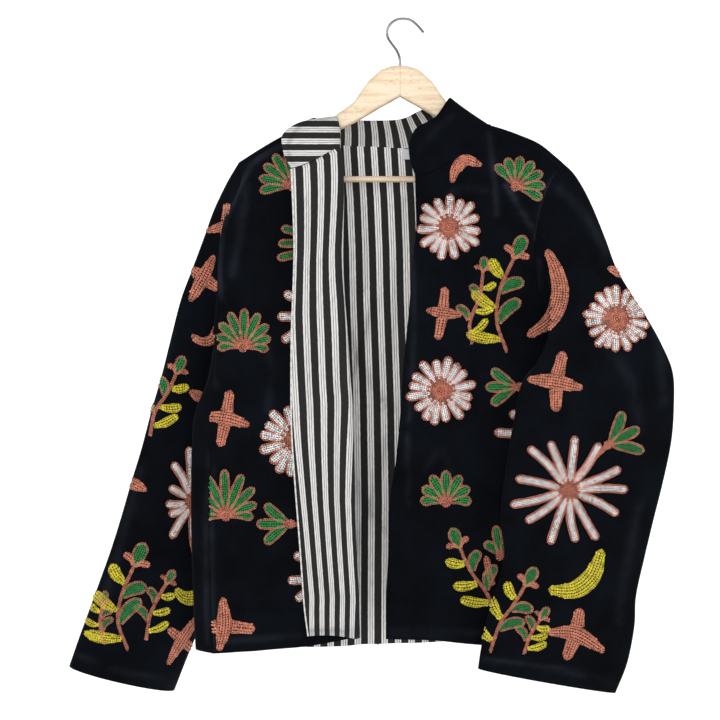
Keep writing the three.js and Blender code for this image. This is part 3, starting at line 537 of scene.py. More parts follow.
def outward(shell):
    # directions at every point: the cross product of each cell's diagonals, summed over the cells
    # that meet there, also over those of a neighbour that shares the point along a seam
    keys, sums = [], []
    for grid, flip, ring in shell.values():
        g = np.concatenate([grid, grid[:, :1]], 1) if ring else grid
        cross = np.cross(g[1:, 1:] - g[:-1, :-1], g[1:, :-1] - g[:-1, 1:])
        cross /= np.linalg.norm(cross, axis=2, keepdims=True) + 1e-12
        cross *= -1 if flip else 1
        total = np.zeros_like(g)
        for rows, cols in ((slice(1, None), slice(1, None)), (slice(None, -1), slice(None, -1)),
                           (slice(1, None), slice(None, -1)), (slice(None, -1), slice(1, None))):
            total[rows, cols] += cross
        if ring:
            total[:, 0] += total[:, -1]
            total = total[:, :-1]
        keys.append(np.round(grid.reshape(-1, 3) * 50).astype(int))
        sums.append(total.reshape(-1, 3))
    _, group = np.unique(np.concatenate(keys), axis=0, return_inverse=True)
    group = group.ravel()
    values = np.concatenate(sums)
    shared = np.stack([np.bincount(group, values[:, c]) for c in range(3)], 1)[group]
    shared /= np.linalg.norm(shared, axis=1, keepdims=True)
    out, start = {}, 0
    for name, (grid, flip, ring) in shell.items():
        size = grid.shape[0] * grid.shape[1]
        out[name] = shared[start:start + size].reshape(grid.shape)
        start += size
    return out


def runs(grid, ring=False):
    # flat coordinates of a grid, in metres: lengths along its rows and its columns, summed from the
    # first column and the first row
    g = np.concatenate([grid, grid[:, :1]], 1) if ring else grid
    across = np.linalg.norm(np.diff(g, axis=1), axis=2).cumsum(1)
    along = np.linalg.norm(np.diff(g, axis=0), axis=2).cumsum(0)
    u = np.concatenate([np.zeros((g.shape[0], 1)), across], 1)
    v = np.concatenate([np.zeros((1, g.shape[1])), along], 0)
    return np.stack([u, v], -1) / 1000


def newMesh(name, points, faces, cornerUv=None, faceMaterial=None, smoothFaces=True):
    # a mesh of points in mm and an array of quads or triangles, with one pair of cloth coordinates
    # for each corner
    mesh = bpy.data.meshes.new(name)
    sides = faces.shape[1]
    mesh.vertices.add(len(points))
    mesh.vertices.foreach_set("co", (np.asarray(points) / 1000).astype(np.float32).ravel())
    mesh.loops.add(faces.size)
    mesh.loops.foreach_set("vertex_index", faces.astype(np.int32).ravel())
    mesh.polygons.add(len(faces))
    mesh.polygons.foreach_set("loop_start", (np.arange(len(faces)) * sides).astype(np.int32))
    if faceMaterial is not None:
        mesh.polygons.foreach_set("material_index", faceMaterial.astype(np.int32))
    if cornerUv is not None:
        mesh.uv_layers.new(name="cloth").data.foreach_set("uv", cornerUv.astype(np.float32).ravel())
    mesh.update(calc_edges=True)
    mesh.validate()
    mesh.polygons.foreach_set("use_smooth", np.full(len(mesh.polygons), smoothFaces))
    piece = bpy.data.objects.new(name, mesh)
    bpy.context.scene.collection.objects.link(piece)
    return piece


def wall(grid, normals, inner, outer, flip, ring, uv):
    # a closed cloth wall: the grid moved along its normals by inner and by outer, joined round the
    # rim; its edges are drawn in by half a seam
    inset = cloth["seam"] / 2

    def towards(a, b):
        # the step from a in the direction of b, half a seam long
        d = b - a
        return inset * d / (np.linalg.norm(d, axis=-1, keepdims=True) + 1e-9)

    g = grid.copy()
    g[0] += towards(grid[0], grid[1])
    g[-1] += towards(grid[-1], grid[-2])
    if not ring:
        g[:, 0] += towards(grid[:, 0], grid[:, 1])
        g[:, -1] += towards(grid[:, -1], grid[:, -2])
    rows, cols = g.shape[:2]
    points = np.concatenate([(g + normals * away).reshape(-1, 3) for away in (inner, outer)])
    lastCol = cols if ring else cols - 1
    r, c = np.meshgrid(np.arange(rows - 1), np.arange(lastCol), indexing="ij")
    r, c = r.ravel(), c.ravel()

    def corner(layer, r, c):
        # the number of a point, from its layer, row and column
        return (layer * rows + r) * cols + c % cols

    def faces(*corners):
        # quads from four corners, and the cloth coordinates of each
        index = np.stack([corner(*q) for q in corners], 1)
        place = np.stack([uv[q[1] + 0 * q[2], q[2] + 0 * q[1]] for q in corners], 1)
        if flip:
            index, place = index[:, [0, 3, 2, 1]], place[:, [0, 3, 2, 1]]
        return index, place

    e = np.arange(lastCol)
    top = rows - 1 + 0 * e
    parts = [(0, faces((1, r, c), (1, r, c + 1), (1, r + 1, c + 1), (1, r + 1, c))),
             (1, faces((0, r, c), (0, r + 1, c), (0, r + 1, c + 1), (0, r, c + 1))),
             (0, faces((0, 0 * e, e), (0, 0 * e, e + 1), (1, 0 * e, e + 1), (1, 0 * e, e))),
             (0, faces((0, top, e + 1), (0, top, e), (1, top, e), (1, top, e + 1)))]
    if not ring:
        e = np.arange(rows - 1)
        end = cols - 1 + 0 * e
        parts += [(0, faces((0, e + 1, 0 * e), (0, e, 0 * e), (1, e, 0 * e), (1, e + 1, 0 * e))),
                  (0, faces((0, e, end), (0, e + 1, end), (1, e + 1, end), (1, e, end)))]
    index = np.concatenate([p[1][0] for p in parts])
    place = np.concatenate([p[1][1] for p in parts])
    side = np.concatenate([np.full(len(p[1][0]), p[0]) for p in parts])
    return points, index, place, side


class Look:
    # a material: its constant values stand on the Principled shader's own sockets, and each helper
    # adds one node and gives back the output in use
    def __init__(self, name, settings):
        self.material = bpy.data.materials.new(name)
        self.material.use_nodes = True
        self.nodes, self.links = self.material.node_tree.nodes, self.material.node_tree.links
        self.surface = self.nodes["Principled BSDF"]
        for socket, value in settings.items():
            self.surface.inputs[socket].default_value = value

    def node(self, kind, inputs=None, out=0, **values):
        # a node with its values set, and each input linked to a socket or set to a number
        made = self.nodes.new("ShaderNode" + kind)
        for key, value in values.items():
            setattr(made, key, value)
        for key, value in (inputs or {}).items():
            if isinstance(value, bpy.types.NodeSocket):
                self.links.new(value, made.inputs[key])
            else:
                made.inputs[key].default_value = value
        return made.outputs[out]

    def place(self):
        # the point on the piece, in metres from the origin
        return self.node("TexCoord", out="Object")

    def noise(self, place, scale, detail, roughness=0.5):
        # soft noise from 0 to 1, scale patches to a metre
        return self.node("TexNoise", {"Vector": place, "Scale": scale, "Detail": detail,
                                      "Roughness": roughness}, "Fac")

    def streaks(self, place, scale, detail, turn=0.0):
        # noise stretched along the axes, turned about Y
        moved = self.node("Mapping", {"Vector": place, "Rotation": (0, turn, 0), "Scale": scale})
        return self.noise(moved, 1.0, detail)

    def attribute(self, name, out):
        # a value that the mesh carries at its points
        return self.node("Attribute", out=out, attribute_name=name, attribute_type="GEOMETRY")

    def axis(self, place, letter):
        # one coordinate of a place
        return self.node("SeparateXYZ", {"Vector": place}, letter)

    def math(self, operation, *values):
        # one sum of numbers or sockets
        return self.node("Math", dict(enumerate(values)), operation=operation)

    def spread(self, value, low, high, toLow=0.0, toHigh=1.0):
        # the range from low to high moved to the one from toLow to toHigh, held at both ends
        return self.node("MapRange", {"Value": value, "From Min": low, "From Max": high,
                                      "To Min": toLow, "To Max": toHigh}, "Result")

    def mix(self, share, a, b, kind="RGBA"):
        # a and b in shares of 1 - share and share
        return self.node("Mix", {"Factor": share, "A": a, "B": b}, "Result", data_type=kind)

    def scaled(self, colour, by):
        # a colour times a number
        return self.node("VectorMath", {0: colour, "Scale": by}, operation="SCALE")

    def ramp(self, value, stops):
        # a colour for each value, straight between (position, colour) stops
        made = self.nodes.new("ShaderNodeValToRGB")
        self.links.new(value, made.inputs["Fac"])
        elements = made.color_ramp.elements
        elements.remove(elements[-1])
        for i, (position, colour) in enumerate(stops):
            element = elements[0] if i == 0 else elements.new(position)
            element.position = position
            element.color = (*colour, 1)
        return made.outputs["Color"]

    def finish(self, colour, height=None, strength=0.0, distance=0.0):
        # links the base colour and, where there is a height, a bump made from it
        self.links.new(colour, self.surface.inputs["Base Color"])
        if height:
            bump = self.node("Bump", {"Height": height, "Strength": strength, "Distance": distance})
            self.links.new(bump, self.surface.inputs["Normal"])
        return self.material


def srgb(r, g, b):
    # screen colour 0 to 255 as linear light
    c = np.array([r, g, b]) / 255
    return tuple(np.where(c <= 0.04045, c / 12.92, ((c + 0.055) / 1.055) ** 2.4).tolist())


# velvet tones; the crease colour is a highlight painted along the creases
velvetLook = {"dark": srgb(0, 1, 3), "light": srgb(4, 7, 13), "crease": srgb(46, 50, 58),
              "patch": 16.0, "pile": 900.0, "pileShare": 0.35, "tones": (0.38, 0.62),
              "creased": (0.3, 0.65), "bump": 0.35, "bumpHeight": 0.0005, "sheen": 0.03}


def makeVelvet():
    # near-black pile: broad patches mixed with fine ones pick the tone, and a highlight is painted
    # along the creases, made uneven by the patches
    look = Look("velvet", {
        "Roughness": 0.85, "Sheen Weight": velvetLook["sheen"], "Sheen Roughness": 0.35,
        "Sheen Tint": (0.6, 0.7, 0.85, 1), "Specular IOR Level": 0.05})
    place = look.place()
    patches = look.noise(place, velvetLook["patch"], 5.0, 0.62)
    fine = look.noise(place, velvetLook["pile"], 2.0)
    colours = look.ramp(look.mix(velvetLook["pileShare"], patches, fine, "FLOAT"),
                        zip(velvetLook["tones"], (velvetLook["dark"], velvetLook["light"])))
    # painted crease highlight: the attribute's share, made uneven by the broad patches, mixes the
    # tone towards pale grey
    strength = look.math("MULTIPLY", look.attribute("crease", "Fac"),
                         look.spread(patches, *velvetLook["creased"]))
    creaseHighlighted = look.mix(strength, colours, (*velvetLook["crease"], 1))
    return look.finish(creaseHighlighted, fine, velvetLook["bump"], velvetLook["bumpHeight"])


# a stripe's width in metres, its colours, and where each colour starts and ends as a share of it
stripe = {"period": 0.0175, "white": srgb(205, 203, 201), "grey": srgb(54, 52, 52),
          "dark": srgb(25, 24, 24), "slub": (1500, 90, 1), "drift": (300, 160, 1), "wander": 0.0006,
          "thinnest": 0.72, "thickest": 1.08, "weave": 330.0, "bump": 0.3, "bumpHeight": 0.0003}
stripeStops = [(0.0, "dark"), (0.012, "white"), (0.135, "white"), (0.147, "grey"), (0.178, "grey"),
               (0.19, "white"), (0.305, "white"), (0.317, "grey"), (0.345, "grey"),
               (0.356, "white"), (0.466, "white"), (0.478, "dark"), (1.0, "dark")]


def makeLining(name, tone):
    # fine white lines in threes between plain dark bands, across the cloth's own first coordinate,
    # with yarns that thicken and thin along the second; tone scales it all, painted light above 1
    # and painted shade below 1
    look = Look(name, {"Roughness": 0.8, "Sheen Weight": 0.08, "Sheen Roughness": 0.4,
                       "Specular IOR Level": 0.2})
    place = look.node("UVMap", uv_map="cloth")
    slub = look.streaks(place, stripe["slub"], 3.0)
    wander = look.streaks(place, stripe["drift"], 1.0)
    moved = look.math("ADD", look.axis(place, "X"),
                      look.math("MULTIPLY", wander, stripe["wander"]))
    part = look.math("FRACT", look.math("DIVIDE", moved, stripe["period"]))
    lines = look.ramp(part, [(at, stripe[colour]) for at, colour in stripeStops])
    yarns = look.spread(slub, 0.3, 0.7, stripe["thinnest"] * tone, stripe["thickest"] * tone)
    # painted shade along the lining's creases: its colours darkened by the attribute's share
    creaseShade = look.math("SUBTRACT", 1.0, look.attribute("crease", "Fac"))
    weave = look.node("TexWave", {"Vector": place, "Scale": stripe["weave"], "Distortion": 2.0},
                      "Fac", bands_direction="Y")
    return look.finish(look.scaled(look.scaled(lines, yarns), creaseShade),
                       look.math("ADD", slub, weave), stripe["bump"], stripe["bumpHeight"])


# the lining's colours are painted 1.1 times as bright, as painted light
velvet, lining = makeVelvet(), makeLining("lining", 1.1)
# the parts of the lining that are turned to the light, given painted shade: colours 0.86 times as
# dark
shadedLining = makeLining("lining_painted_shade", 0.86)

shell = makeShell()
normals = outward(shell)
print("cloth curves ready")


def halfGap(name):
    # half of what lies between a panel's velvet and its lining, in mm
    return cloth["collarGap" if name == "collar" else "gap"] / 2


# how many stripes lie outside the turned-back strip's edge and its fold, at heights in the picture
stripStripes = np.array([  # pixel row, at the edge, at the fold
    [150, 0.12, 3.4],
    [250, 0.21, 3.67],
    [300, 0.2, 3.6],
    [400, -0.17, 3.85],
    [500, -0.45, 4.33],
    [600, -0.62, 4.29],
    [640, -0.2, 4.5],
])
# where one stripe of the back's lining runs
backStripe = np.array([  # pixel row, pixel column
    [130, 373], [170, 375.5], [200, 377.5], [250, 379.5], [300, 380.5], [400, 384], [500, 385.5],
    [600, 385], [640, 385],
])
# one white band's start behind the neck by pixel column and on the turned-out end by pixel row, the
# widths of a stripe in pixels, shifts in stripes, and whole stripes that keep every count above 0
stripePlaces = {"neck": 345.0, "neckPeriod": 13.5, "turned": 139.0, "turnedPeriod": 11.6,
                "turnStart": 0.35, "collarWhole": 60, "backPeriod": 13.5, "backShift": 0.245,
                "backWhole": 40, "stripShift": 0.1}


def liningPlaces(name, grid):
    # cloth coordinates of a lining: plain lengths, apart from stripes that follow measured lines
    uv = runs(grid)
    period = stripe["period"]
    pixels = toPixels(grid)
    if name == "front_left":
        # stripes counted from the strip's outer edge to its fold, and on from there by length
        edge = counts["strip"] * finer
        row = pixels[:, edge, 1]
        low, high = (np.interp(row, stripStripes[:, 0], numbers)[:, None]
                     for numbers in stripStripes.T[1:])
        u = uv[..., 0]
        share = u[:, :edge + 1] / u[:, edge:edge + 1]
        counted = np.concatenate([low + (high - low) * share,
                                  high + (u[:, edge + 1:] - u[:, edge:edge + 1]) / period], 1)
        uv[..., 0] = (counted + stripePlaces["stripShift"]) * period
    if name == "collar":
        # stripes level where the collar is turned out, and square to the seam behind the neck
        strip, fold, left, back = (counts[part] * finer
                                   for part in ("strip", "fold", "neckLeft", "neckBack"))
        first, last = strip + fold + left, strip + fold + left + back
        middle = grid.shape[0] // 2
        along = uv[middle, :, 0] / period
        pixel = (pixels[middle, :, 0] - stripePlaces["neck"]) / stripePlaces["neckPeriod"]
        number = np.arange(len(along))
        upright = np.where(number < first, pixel[first] + along - along[first],
                           np.where(number > last, pixel[last] + along - along[last], pixel))
        level = (pixels[..., 1] - stripePlaces["turned"]) / stripePlaces["turnedPeriod"]
        share = smooth(strip + stripePlaces["turnStart"] * fold, strip + fold, number)[None]
        uv[..., 1] = (1 - share) * grid[..., 0] / 1000 + share * uv[..., 1]
        uv[..., 0] = ((1 - share) * level + share * upright[None]
                      + stripePlaces["collarWhole"]) * period
    if name == "back":
        column = np.interp(pixels[..., 1], backStripe[:, 0], backStripe[:, 1])
        uv[..., 0] = ((pixels[..., 0] - column) / stripePlaces["backPeriod"] * period
                      + stripePlaces["backShift"] * period + stripePlaces["backWhole"] * period)
        uv[..., 1] = -grid[..., 2] / 1000
    return uv


# lines along each panel's creases where light and shade are painted: a line in picture pixels,
# its half width in pixels, its strength
creases = {
    "front_right": [
        ([(489, 132), (492, 160), (495, 190), (497, 214)], 1.6, 0.45),
        ([(506, 184), (520, 209), (538, 238)], 1.8, 0.75),
        ([(556, 176), (548, 190), (541, 212), (537, 239)], 1.6, 0.55),
        ([(452, 192), (466, 188), (484, 190)], 2.6, 0.3),
        ([(408, 436), (407, 470), (409, 505)], 2.0, 0.4),
        ([(424, 470), (440, 452), (449, 470), (452, 500)], 3.0, 0.22),
        ([(412, 248), (414, 330), (409, 420)], 1.3, 0.3),
        ([(392, 632), (500, 634)], 1.6, 0.3),
    ],
    "front_left": [
        ([(281, 145), (257, 159), (244, 178), (234, 200), (223, 226), (219, 267),
           (221, 314)], 1.9, 0.6),
        ([(247, 188), (240, 235), (232, 275)], 3.4, 0.26),
        ([(217, 268), (224, 300), (228, 312)], 2.2, 0.3),
        ([(212, 350), (210, 372), (218, 387)], 2.2, 0.35),
        ([(214, 470), (211, 540), (213, 648)], 1.6, 0.45),
        ([(262, 330), (272, 372), (268, 410)], 3.2, 0.16),
        ([(214, 641), (300, 637)], 1.6, 0.3),
    ],
    "back": [
        ([(209, 460), (206, 540), (207, 640)], 2.0, 0.4),
        ([(330, 200), (345, 330), (336, 470), (352, 600)], 4.5, 0.2),
        ([(430, 190), (412, 300), (424, 430), (405, 560)], 4.5, 0.2),
    ],
    "sleeve_right": [
        ([(560, 190), (585, 215), (606, 252)], 3.5, 0.3),
        ([(540, 262), (536, 320), (528, 372)], 1.8, 0.4),
        ([(640, 300), (660, 345), (663, 400)], 4.0, 0.28),
        ([(600, 340), (630, 380), (640, 430)], 4.0, 0.2),
        ([(640, 505), (628, 560), (618, 620)], 3.6, 0.25),
        ([(484, 659), (548, 667), (617, 682)], 1.6, 0.35),
    ],
    "sleeve_left": [
        ([(222, 180), (206, 214), (196, 246)], 3.0, 0.35),
        ([(170, 330), (160, 380), (146, 430)], 3.6, 0.3),
        ([(140, 470), (124, 530), (104, 600)], 4.0, 0.25),
        ([(76, 655), (120, 671), (172, 683)], 1.6, 0.35),
    ],
    "collar": [
        ([(420, 150), (436, 128), (452, 116)], 3.0, 0.2),
    ],
    "front_left_lining": [
        ([(296, 630), (359, 631)], 1.0, 0.4),
        ([(306, 200), (312, 300), (306, 420)], 3.6, 0.12),
        ([(344, 330), (334, 430), (342, 540)], 4.0, 0.14),
        ([(300, 560), (330, 590), (352, 600)], 3.0, 0.12),
    ],
    "collar_lining": [
        ([(330, 118), (312, 121), (298, 128), (290, 140), (288, 150), (292, 162)], 1.0, 0.3),
    ],
    "back_lining": [
        ([(342, 300), (352, 340), (372, 385), (392, 410)], 3.0, 0.34),
        ([(374, 300), (362, 345), (347, 395), (340, 440)], 3.0, 0.34),
        ([(350, 470), (366, 505), (384, 530)], 3.0, 0.26),
        ([(386, 440), (372, 500), (352, 560)], 3.4, 0.26),
        ([(360, 190), (366, 240), (362, 290)], 3.6, 0.2),
        ([(404, 200), (398, 280), (390, 360)], 3.6, 0.22),
    ],
}
# how wide the painted crease light and shade spread, and how strong they are on velvet
creaseSpread = {"wider": 1.3, "least": 2.7, "velvet": 0.7}
lineSteps = 60  # steps of any flat line that is drawn in picture pixels


def addPaintedCreases(piece, name, points):
    # for each point, the sum over the panel's creases of strength times a bell curve of the flat
    # distance to the line, in half widths: painted highlight on velvet, painted shade on lining
    share = np.zeros(len(points))
    flat = toPixels(points)
    for line, half, strength in creases.get(name, []):
        path = evenly(np.column_stack([line, np.zeros(len(line))]), lineSteps)[:, :2]
        away = np.full(len(points), np.inf)
        for p, q in zip(path[:-1], path[1:]):
            t = (((flat - p) @ (q - p)) / ((q - p) @ (q - p))).clip(0, 1)
            away = np.minimum(away, np.linalg.norm(flat - p - t[:, None] * (q - p), axis=1))
        half = max(creaseSpread["least"], creaseSpread["wider"] * half)
        share += strength * np.exp(-(away / half) ** 2)
    share = share * (1 if name.endswith("lining") else creaseSpread["velvet"])
    piece.data.attributes.new("crease", "FLOAT", "POINT").data.foreach_set(
        "value", share.astype(np.float32))


pieces = {}
for name, (grid, flip, ring) in shell.items():
    gap = halfGap(name)
    points, faces, places, side = wall(grid, normals[name], gap, gap + cloth["velvet"], flip, ring,
                                       runs(grid, ring))
    piece = newMesh(name + "_velvet", points, faces, places, side if ring else None)
    addPaintedCreases(piece, name, points)
    piece.data.materials.append(velvet)
    pieces[name] = piece
    if ring:
        piece.data.materials.append(lining)  # a sleeve's inner face
        continue
    points, faces, places, side = wall(grid, normals[name], -gap - cloth["lining"], -gap, flip,
                                       ring, liningPlaces(name, grid))
    piece = newMesh(name + "_striped", points, faces, places)
    addPaintedCreases(piece, name + "_lining", points)
    piece.data.materials.append(shadedLining if name in ("front_left", "collar") else lining)
    pieces[name + "_lining"] = piece
print("cloth walls made")

# the solids' parts that each piece stands in for; each piece goes under the root and those parts
# are hidden
stands = {name: [name] for name in pieces}
stands["sleeve_left"] = ["sleeve_left_upper", "sleeve_left_middle", "sleeve_left_lower"]
for name, piece in pieces.items():
    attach(piece, "root")
    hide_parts(*stands[name])

# the studio, in metres: a pale sweep of paper and square lights
stage = {"floor": -1.02, "behind": 5.0, "wide": 6.0, "front": -5.0, "bend": 0.8, "high": 4.0,
         "sky": 0.75, "glow": 0.34}
lampTarget = Vector((-0.05, 0, -0.45))
lamps = {  # place, side, watts
    "key": ((-1.3, -2.0, 0.9), 1.4, 16),
    "fill": ((1.5, -2.0, 0.1), 1.6, 9),
    "front": ((-0.2, -2.7, -0.1), 1.0, 34),
}
world = bpy.data.worlds.new("studio")
world.use_nodes = True
world.node_tree.nodes["Background"].inputs[0].default_value = (1, 1, 1, 1)
world.node_tree.nodes["Background"].inputs[1].default_value = stage["sky"]
bpy.context.scene.world = world
bpy.context.scene.view_settings.view_transform = "Standard"
bpy.context.scene.view_settings.look = "None"
for name, (place, size, power) in lamps.items():
    data = bpy.data.lights.new(name, "AREA")
    data.size, data.energy = size, power
    light = bpy.data.objects.new(name, data)
    light.location = place
    light.rotation_euler = (lampTarget - Vector(place)).to_track_quat("-Z", "Y").to_euler()
    bpy.context.scene.collection.objects.link(light)


def makeStage():
    # a sweep: flat floor, a quarter bend, then upright, the profile carried along X
    turn = np.linspace(0, np.pi / 2, 13)
    bend = stage["bend"]
    y = np.concatenate([[stage["front"]], stage["behind"] - bend + bend * np.sin(turn),
                        [stage["behind"]]])
    z = np.concatenate([[stage["floor"]], stage["floor"] + bend * (1 - np.cos(turn)),
                        [stage["high"]]])
    x = np.array([-stage["wide"], stage["wide"]])
    points = np.stack([np.repeat(x[None], len(y), 0), np.repeat(y[:, None], 2, 1),
                       np.repeat(z[:, None], 2, 1)], -1)
    i = np.arange(len(y) - 1) * 2
    floor = newMesh("stage_floor", points.reshape(-1, 3) * 1000,
                    np.stack([i, i + 1, i + 3, i + 2], 1))
    look = Look("paper", {"Roughness": 0.9, "Specular IOR Level": 0.1,
                          "Emission Color": (1, 1, 1, 1), "Emission Strength": stage["glow"]})
    floor.data.materials.append(look.finish(look.ramp(
        look.noise(look.place(), 6.0, 3.0),
        [(0.3, srgb(250, 250, 250)), (0.7, srgb(254, 254, 254))])))


makeStage()
print("stage and lights set")

# Embroidery. Motifs are charted flat, in picture pixels for what faces the camera and in the same
# scale for what faces away. Each one is a set of stitch rows, which are then laid on the velvet.
yarn = {"copper": srgb(184, 114, 91), "green": srgb(38, 122, 62), "white": srgb(232, 229, 229),
        "yellow": srgb(192, 178, 44)}
# widths of rows and length of a stitch in pixels; how far a grain overlaps the next ones; its
# height in mm; how unevenly grains are sized, shaded and set; cells kept bare at an edge; how much
# closer the velvet's points are made; how squarely it faces the viewer at least, front and behind
stitching = {"rim": 1.75, "fill": 2.2, "solid": 2.9, "step": 2.7, "longer": 1.36, "wider": 1.42,
             "height": 1.0, "uneven": 0.1, "shade": 0.15, "whiteShade": 0.26, "swing": 0.12,
             "margin": 3, "closer": 9, "slant": 0.22, "slantBehind": 0.45, "ring": 2.1, "seed": 7}


def along(path):
    # a smooth flat line through the points in even steps, its length so far, and its sideways
    # directions
    flat = np.asarray(path, float)
    if len(flat) == 2:
        flat = np.array([flat[0], flat.mean(0), flat[1]])
    line = evenly(np.column_stack([flat, 0 * flat[:, 0]]), lineSteps)[:, :2]
    ahead = np.gradient(line, axis=0)
    ahead /= np.linalg.norm(ahead, axis=1, keepdims=True) + 1e-9
    return line, lengths(line), np.stack([-ahead[:, 1], ahead[:, 0]], 1)


def lengths(line):
    # the length of a line up to each of its points
    return np.concatenate([[0], np.linalg.norm(np.diff(line, axis=0), axis=1).cumsum()])


widths = {  # half width as a share of the greatest, at a share t of the length
    "leaf": lambda t: 0.30 + 0.70 * np.sin(np.pi * np.clip(0.06 + 0.72 * t, 0, 1)) ** 1.2,
    "drop": lambda t: 0.25 + 0.75 * smooth(0.0, 0.75, t),
    "spindle": lambda t: 0.42 + 0.58 * np.sin(np.pi * t) ** 1.5,
    "moon": lambda t: 0.34 + 0.66 * np.sin(np.pi * t),
    "arm": lambda t: 1.0 - 0.38 * t,
    "even": lambda t: 1.0 + 0 * t,
}


def blade(rows, path, half, fill, edge=None, kind="leaf", roundStart=False, wedge=None):
    # a rim row and rows beside each other within it, along a curved centre line; half is the
    # greatest half width and kind its profile, and wedge = (start, share) holds it below share of
    # the distance from a middle
    line, run, aside = along(path)
    w = half * widths[kind](run / run[-1])
    if wedge:
        w = np.minimum(w, (wedge[0] + run) * wedge[1])
    for fromEnd in (run[-1] - run, run) if roundStart else (run[-1] - run,):
        # a round end: the width falls as a circle does, over a length that equals it
        tip = max(w[np.argmin(fromEnd)], 1e-3)
        w = w * np.sqrt(np.clip(1 - (np.clip(tip - fromEnd, 0, tip) / tip) ** 2, 0, 1))
    rim = stitching["rim"]
    side = np.clip(w - rim / 2, 0, None)[:, None] * aside
    rows.append((np.concatenate([line + side, (line - side)[::-1]]), edge or fill, rim))
    room = w - rim
    most = room.max()
    if most < 0.45:
        return
    count = max(1, int(round(2 * most / stitching["fill" if edge else "solid"])))
    if edge and count % 2 == 0:
        count += 1
    across = 2 * most / count
    for offset in (np.arange(count) + 0.5) * across - most:
        keep = room >= abs(offset) - 0.35 * across
        if edge:
            keep &= room > 0.3 * across
        if keep.sum() > 2:
            rows.append(((line + offset * aside)[keep], fill, across))


def stem(rows, path, half):
    # a plain copper band
    blade(rows, path, half, "copper", kind="even")


def bud(rows, path, half):
    # a spindle of copper, round at both ends
    blade(rows, path, half, "copper", kind="spindle", roundStart=True)


def lobe(rows, path, half):
    # a copper leaf, round at both ends
    blade(rows, path, half, "copper", kind="leaf", roundStart=True)


def moon(rows, path, half, fill="copper"):
    # a crescent, round at both ends
    blade(rows, path, half, fill, kind="moon", roundStart=True)


def disc(rows, centre, radius):
    # rings of copper stitches, one row apart
    t = np.linspace(0, 2 * np.pi, 40)
    ring = np.stack([np.cos(t), np.sin(t)], 1)
    for r in np.arange(radius - 1, 0.6, -stitching["ring"]):
        rows.append((centre + r * ring, "copper", stitching["ring"]))


def spoke(centre, angle, start, end, bend=0.0):
    # a line outwards at an angle from straight up, in degrees, bent sideways at its middle
    a = math.radians(angle)
    out = np.array([math.sin(a), -math.cos(a)])
    side = np.array([math.cos(a), math.sin(a)])
    c = np.asarray(centre, float)
    return [c + out * start, c + out * (start + end) / 2 + side * bend, c + out * end]


# in pixels: where petals start, the middle's radius, and a petal's half width, as a share of the
# radius for a daisy; touch is the share of the room between two petals that they may fill
daisyLook = {"start": 4.5, "middle": 4.6, "petal": 0.135, "touch": 1.1}
asterLook = {"start": 7.0, "middle": 6.5, "petal": 4.3, "touch": 1.05}
fanLook = {"start": 4.0, "middle": 4.2, "petal": 5.2, "touch": 1.15}


def daisy(rows, x, y, radius, count=15, turn=0):
    # white petals all round, made a little uneven by sines, about a copper middle
    start, touch = daisyLook["start"], daisyLook["touch"]
    for i in range(count):
        end = radius * (0.94 + 0.06 * math.sin(2.3 * i + x))
        angle = turn + 360 * i / count + 3 * math.sin(1.7 * i + y)
        blade(rows, spoke((x, y), angle, start, end, 0.6 * math.sin(i)),
              radius * daisyLook["petal"], "white", "copper", "even",
              wedge=(start, math.sin(math.pi / count) * touch))
    disc(rows, (x, y), daisyLook["middle"])


def aster(rows, x, y, high, wide, count=12, turn=0, half=asterLook["petal"]):
    # long narrow white petals that reach an ellipse, high by wide, made uneven by sines
    start, touch = asterLook["start"], asterLook["touch"]
    for i in range(count):
        angle = turn + 360 * i / count + 4 * math.sin(2.1 * i + x)
        a = math.radians(angle)
        reach = (1 / math.hypot(math.sin(a) / wide, math.cos(a) / high)
                 * (0.95 + 0.05 * math.sin(3 * i + y)))
        blade(rows, spoke((x, y), angle, start, reach, 2.2 * math.sin(1.3 * i)), half,
              "white", "copper", "even", wedge=(start, math.sin(math.pi / count) * touch))
    disc(rows, (x, y), asterLook["middle"])


def fan(rows, x, y, axis, spread, count, side, top, half=fanLook["petal"]):
    # leaves spread from a foot: the outermost of length side, the middle one of length top, and
    # between them by a power of the cosine
    beside = math.sin(math.radians(spread / (count - 1) / 2)) * fanLook["touch"]
    for i in range(count):
        f = 2 * i / (count - 1) - 1
        length = side + (top - side) * math.cos(f * math.pi / 2) ** 1.3
        blade(rows, spoke((x, y), axis + f * spread / 2, fanLook["start"], length, -1.6 * f), half,
              "green", "copper", "leaf", wedge=(fanLook["start"], beside))
    disc(rows, (x, y), fanLook["middle"])


def star(rows, x, y, arms, half=6.6):
    # rounded arms from a middle, each given by the place of its tip; the first two are one long arm
    first, second, *others = arms
    bud(rows, [first, (x, y), second], half)
    for tip in others:
        share = min(0.45, half / math.dist(tip, (x, y)))
        start = np.array([x, y]) + (np.array(tip) - (x, y)) * share
        blade(rows, [start, tip], half * 0.92, "copper", kind="arm")


# where a sprig's leaves stand on its stem; the first one's length in pixels and how much shorter
# each next one is; for each sort of leaf its angle from the stem, length, bend and half width
sprigLook = {"stem": 1.5, "leavesAt": (0.14, 0.30, 0.46, 0.62, 0.78), "longest": 31, "less": 2.6,
             "green": (52, -3, 5.8), "yellow": (58, -1.5, 5.0), "sepal": (62, 13, -2, 3.0),
             "tip": (21, 6.2)}


